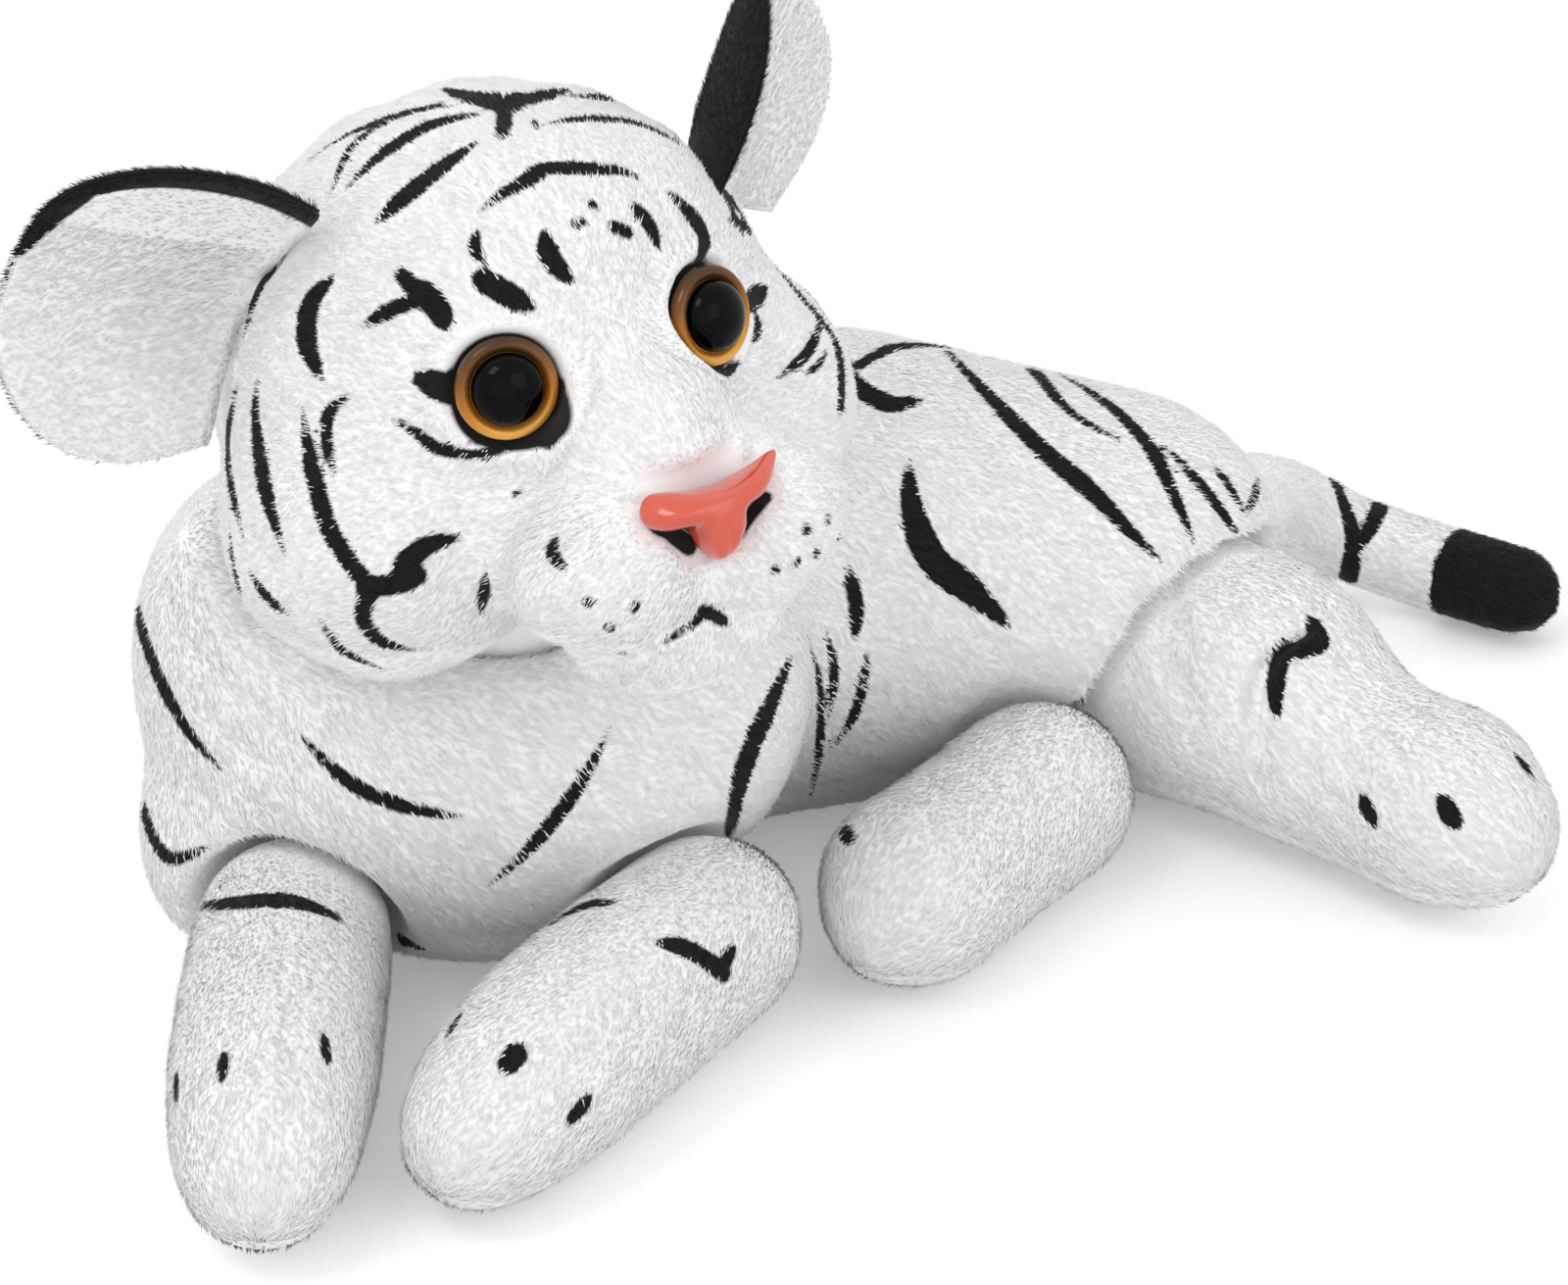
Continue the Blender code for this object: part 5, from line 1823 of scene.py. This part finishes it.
    def tail_ink(self, places: np.ndarray) -> np.ndarray:
        """Depth in the black tip, and in the bands on the side away from the viewer.

        A band of (middle, width, skew) in millimetres lies where its half width is more
        than the length along the path, off its middle, swung by the skew.

        Args:
            places: Places, one a row.

        Returns:
            One depth a row, in metres.
        """
        path = through(np.array(self.tail_path), 2 * MM)
        steps = np.concatenate([[0], np.cumsum(np.linalg.norm(np.diff(path, axis=0), axis=1))])
        near = np.argmin(np.linalg.norm(places[:, None] - path[None], axis=2), axis=1)
        away = (places - path[near]) @ np.array([0, 0.89, -0.45]) - MM
        beyond = np.maximum((places - path[-1]) @ unit(path[-1] - path[-2]), 0)
        at = steps[near] + np.where(steps[near] > steps[-1] - 3 * MM, beyond, 0)
        depth = at - (steps[-1] - self.tail_tip)
        swing = ripple(places, 50 * MM, 41)
        for middle, width, skew in self.tail_bands:
            band = width * MM / 2 - np.abs(at - middle * MM + skew * MM * swing)
            depth = np.maximum(depth, np.minimum(band, away))
        return depth

    def ink(self, name: str, places: np.ndarray) -> np.ndarray:
        """Depth in black of places on a skin, in metres."""
        found = self.prints[name].depth(places)
        if name == "head_cloth":
            found = np.maximum(found, self.eye_rim(places))
        if name == "tail_cloth":
            found = np.maximum(found, self.tail_ink(places))
        return found

    def print_skins(self) -> None:
        """Pull the seams in and lay every stripe."""
        self.surfaces = {skin.piece: Surface(skin.obj) for skin in self.skins}
        printer = Printer(self.surfaces, self.head)
        for seam in SEAMS:
            for name, landed in printer.lay((seam,)).items():
                if not landed.starts:
                    continue
                skin = next(s for s in self.skins if s.piece == name)
                depth = landed.depth(self.surfaces[name].points)
                skin.press(-seam.depth * MM * fade(depth, -1.5 * MM, 1.6 * MM))
                self.surfaces[name] = Surface(skin.obj)
        self.prints = printer.lay(STRIPES + WHISKER_DOTS)
        nape, crest = (tuple(self.head @ Vector(v)) for v in ((0, 0.01, -0.045), (0, 0.01, 0.055)))
        back, left = (tuple(self.turn @ Vector(v)) for v in ((0, 1, 0), (1, 0, 0)))
        chest, rump, up, far_side = (-0.02, -0.07, 0.055), (0.15, 0.075, 0.055), (0, 0, 1), (-0.65, 0.76, 0)
        for wrap in (
            Wrap("torso_cloth", chest, rump, up, far_side, FAR_SIDE),
            Wrap("head_cloth", nape, crest, back, left, BACK_OF_HEAD, True),
        ):
            wrap.lay(self.surfaces[wrap.skin], self.prints[wrap.skin])
        LOG.info("prints laid")

    def dress_skins(self, plush: PlushFinish, cloth: bpy.types.Material) -> None:
        for skin in self.skins:
            set_value(skin.obj, "ink", self.ink(skin.piece, self.surfaces[skin.piece].points) / MM)
            skin.declare(cloth)
        set_value(self.neck.obj, "ink", np.full(len(self.neck.obj.data.vertices), FAR_OUT))
        self.neck.declare(plush.stuffing("loose_fibre"))

    def sew_ears(self, cloth: bpy.types.Material) -> None:
        """Make each ear's lining and back.

        Args:
            cloth: Finish of the panels.
        """
        for ear in self.ears:
            for lining in (True, False):
                panel = ear.panel(self.turn, lining)
                panel.data.materials.append(cloth)
                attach(panel, f"ear_{ear.side}")
                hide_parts(f"ear_{'lining' if lining else 'back'}_{ear.side}")
                self.surfaces[panel.name] = Surface(panel)

    def face_reach(self, places: np.ndarray) -> np.ndarray:
        """Fibres are short round the eyes and the nose, and none grow under them."""
        form = self.form
        away, around = self.eye_distance(places), self.nose.distance(self.head, places)
        near_eye = form.eye_least + (1 - form.eye_least) * fade(away, *form.eye_edge)
        near_nose = form.nose_least + (1 - form.nose_least) * fade(around, *form.nose_edge)
        return near_eye * (away > form.bare_eye) * near_nose * (around > form.bare_nose)

    def plant_ear(self, groomer: Groomer, ear: Ear, lining: bool) -> None:
        """Plant one panel's pile on its outer side.

        Args:
            groomer: What plants it.
            ear: The ear.
            lining: True for the lining, False for the back panel.
        """
        name, base = ear.name(lining), np.array(ear.base)
        mesh = bpy.data.objects[name].data
        ink, outer = (np.empty(len(mesh.vertices)) for _ in range(2))
        mesh.attributes["ink"].data.foreach_get("value", ink)
        mesh.attributes["outer"].data.foreach_get("value", outer)
        comb = ear.axes(self.turn)[0] + np.array([0, 0, -0.2])
        groomer.plant(
            name, f"ear_{ear.side}", Pile(per_mm2=2.4, length=2.3 * MM, width=0.46 * MM, lean=62.0),
            lambda places: comb + 0 * places,
            lambda places, tris, shares: (ink[tris] * shares).sum(1) * MM,
            reach=lambda places: 1.3 - 0.3 * fade(np.linalg.norm(places - base, axis=1), 10 * MM, 30 * MM),
            weight=outer, seed=200 + len(name) + (3 if lining else 0),
        )

    def plant(self, groomer: Groomer) -> None:
        """Plant the pile of every skin and ear.

        Args:
            groomer: What plants it.
        """
        coat = Pile(per_mm2=1.8, width=0.52 * MM)
        fine = Pile(per_mm2=2.4, length=2.5 * MM, width=0.46 * MM)
        for k, skin in enumerate(self.skins):
            head = skin.body == "head"
            groomer.plant(
                skin.piece, skin.body, fine if head else coat,
                lambda places: self.comb(skin.body, places),
                lambda places, tris, shares: self.ink(skin.piece, places),
                reach=self.face_reach if head else None, seed=100 + k,
            )
        for ear in self.ears:
            for lining in (True, False):
                self.plant_ear(groomer, ear, lining)
        LOG.info("%d fibres in all", groomer.total)

    def mould(self, moulded: MouldedFinish) -> None:
        """Set the eyes, the nose and the washers in the head.

        Args:
            moulded: Finish of the plastics.
        """
        # Painted shade and light on the ring: bright gold at its bottom, darkening to brown at its top.
        amber = moulded.painted_shade_ramp("iris_amber", (
            (0.0, (0.86, 0.45, 0.09)), (1.0, (0.06, 0.030, 0.014)),
            (0.32, (0.56, 0.21, 0.022)), (0.70, (0.18, 0.072, 0.018)),
        ), 0.24, 0.30)
        black = moulded.plain("pupil_black", (0.001, 0.001, 0.0015), 0.06)
        # Painted shade on the nose: the coral darkens to deep red in the nostril pits.
        coral = moulded.painted_shade_ramp("nose_coral", (
            (0.0, (0.66, 0.085, 0.045)), (1.0, (0.08, 0.010, 0.008)), (0.35, (0.56, 0.070, 0.038)),
        ), 0.20, 0.0)
        for eye in self.eyes:
            eye.build(self.head, amber, black)
        self.nose.build(self.head, coral)
        washer = moulded.plain("washer_nylon", (0.75, 0.75, 0.75), 0.45, 0.3)
        for node in ("eye_washer_left", "eye_washer_right", "nose_washer"):
            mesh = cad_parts[node].data
            mesh.materials.clear()
            mesh.materials.append(washer)

    def dress(self) -> None:
        """Build everything that shows on the stuffed skins."""
        plush = PlushFinish()
        cloth = plush.cloth("plush_cloth")
        self.shape_head()
        self.print_skins()
        self.dress_skins(plush, cloth)
        self.sew_ears(cloth)
        self.plant(Groomer(plush, self.surfaces))
        self.mould(MouldedFinish())


# ---- Studio ----


@dataclass(frozen=True)
class Studio:
    """White floor, white surround and soft lamps.

    A lamp is its place, its power in watts and its side in metres. The floor is lit
    paper with a little glow that only the camera sees, and it runs out into the
    surround between the two distances of horizon.
    """

    surround: float = 0.91
    lamps: dict = field(default_factory=lambda: {
        "key": ((-0.62, -0.72, 1.50), 4.6, 0.6),
        "fill": ((1.1, -1.2, 0.9), 2.5, 1.0),
        "front": ((0.1, -1.7, 0.35), 1.4, 1.4),
    })
    aim: tuple = (0.03, 0.0, 0.08)
    floor_half: float = 3.0
    floor_level: float = -0.2 * MM
    paper: float = 0.86
    glow: float = 0.26
    horizon: tuple = (0.35, 0.95)

    def build(self) -> None:
        """Make the floor, the lamps and the world."""
        scene = bpy.context.scene
        scene.view_settings.view_transform = "Standard"
        corners = np.array([[-1, -1, 0], [1, -1, 0], [1, 1, 0], [-1, 1, 0]]) * self.floor_half
        floor = mesh_object("floor", corners + [0, 0, self.floor_level], [[0, 1, 2, 3]])
        floor.data.materials.append(self._paper())
        floor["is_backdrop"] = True
        for name, (at, power, size) in self.lamps.items():
            self._lamp(name, at, power, size)
        self._surround(scene)

    def _paper(self) -> bpy.types.Material:
        """White paper that the camera sees a little brighter than it is lit.

        Returns:
            The material.
        """
        made = bpy.data.materials.new("floor_paper")
        made.use_nodes = True
        tree = made.node_tree
        tree.nodes.clear()
        out = add_node(tree, "ShaderNodeOutputMaterial")
        matte = add_node(tree, "ShaderNodeBsdfDiffuse", {"Color": (self.paper, self.paper, self.paper, 1)})
        glow, white = (add_node(tree, "ShaderNodeEmission") for _ in range(2))
        path = add_node(tree, "ShaderNodeLightPath")
        scale = add_node(tree, "ShaderNodeMath", {1: self.glow})
        scale.operation = "MULTIPLY"
        both = add_node(tree, "ShaderNodeAddShader")
        place = add_node(tree, "ShaderNodeTexCoord")
        length = add_node(tree, "ShaderNodeVectorMath")
        length.operation = "LENGTH"
        far = add_node(tree, "ShaderNodeMapRange", {"From Min": self.horizon[0], "From Max": self.horizon[1]})
        far.interpolation_type = "SMOOTHSTEP"
        level = add_node(tree, "ShaderNodeMapRange", {"To Min": self.surround, "To Max": 1.0})
        blend = add_node(tree, "ShaderNodeMixShader")
        wire(
            tree, (path, "Is Camera Ray", scale, 0), (scale, 0, glow, "Strength"),
            (matte, 0, both, 0), (glow, 0, both, 1),
            (place, "Object", length, 0), (length, "Value", far, "Value"),
            (path, "Is Camera Ray", level, "Value"), (level, "Result", white, "Strength"),
            (far, "Result", blend, 0), (both, 0, blend, 1), (white, 0, blend, 2), (blend, 0, out, "Surface"),
        )
        return made

    def _lamp(self, name: str, at: tuple, power: float, size: float) -> None:
        """A square soft lamp aimed at the tiger."""
        data = bpy.data.lights.new(name, "AREA")
        data.energy, data.size = power, size
        turn = (Vector(self.aim) - Vector(at)).to_track_quat("-Z", "Y").to_matrix().to_4x4()
        link_object(name, data).matrix_world = Matrix.Translation(at) @ turn

    def _surround(self, scene: bpy.types.Scene) -> None:
        """White to the camera, in gloss and through glass, dimmer as light.

        Args:
            scene: The scene to light.
        """
        world = bpy.data.worlds.new("surround")
        scene.world = world
        world.use_nodes = True
        tree = world.node_tree
        path = add_node(tree, "ShaderNodeLightPath")
        seen, clear = (add_node(tree, "ShaderNodeMath") for _ in range(2))
        seen.operation = clear.operation = "MAXIMUM"
        level = add_node(tree, "ShaderNodeMapRange", {"To Min": self.surround, "To Max": 1.0})
        back = tree.nodes["Background"]
        set_inputs(back, {"Color": (1, 1, 1, 1)})
        wire(
            tree, (path, "Is Camera Ray", seen, 0), (path, "Is Transmission Ray", seen, 1),
            (seen, 0, clear, 0), (path, "Is Glossy Ray", clear, 1),
            (clear, 0, level, "Value"), (level, "Result", back, "Strength"),
        )


def main() -> None:
    """Build the tiger and its studio, and work out the triangles of every shown piece."""
    logging.basicConfig(level=logging.INFO, format="%(name)s %(message)s")
    tiger = Tiger()
    tiger.stuff()
    tiger.dress()
    Studio().build()
    Eyepoint().place()
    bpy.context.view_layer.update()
    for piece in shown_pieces():
        piece.data.calc_loop_triangles()


if __name__ == "__main__":
    main()
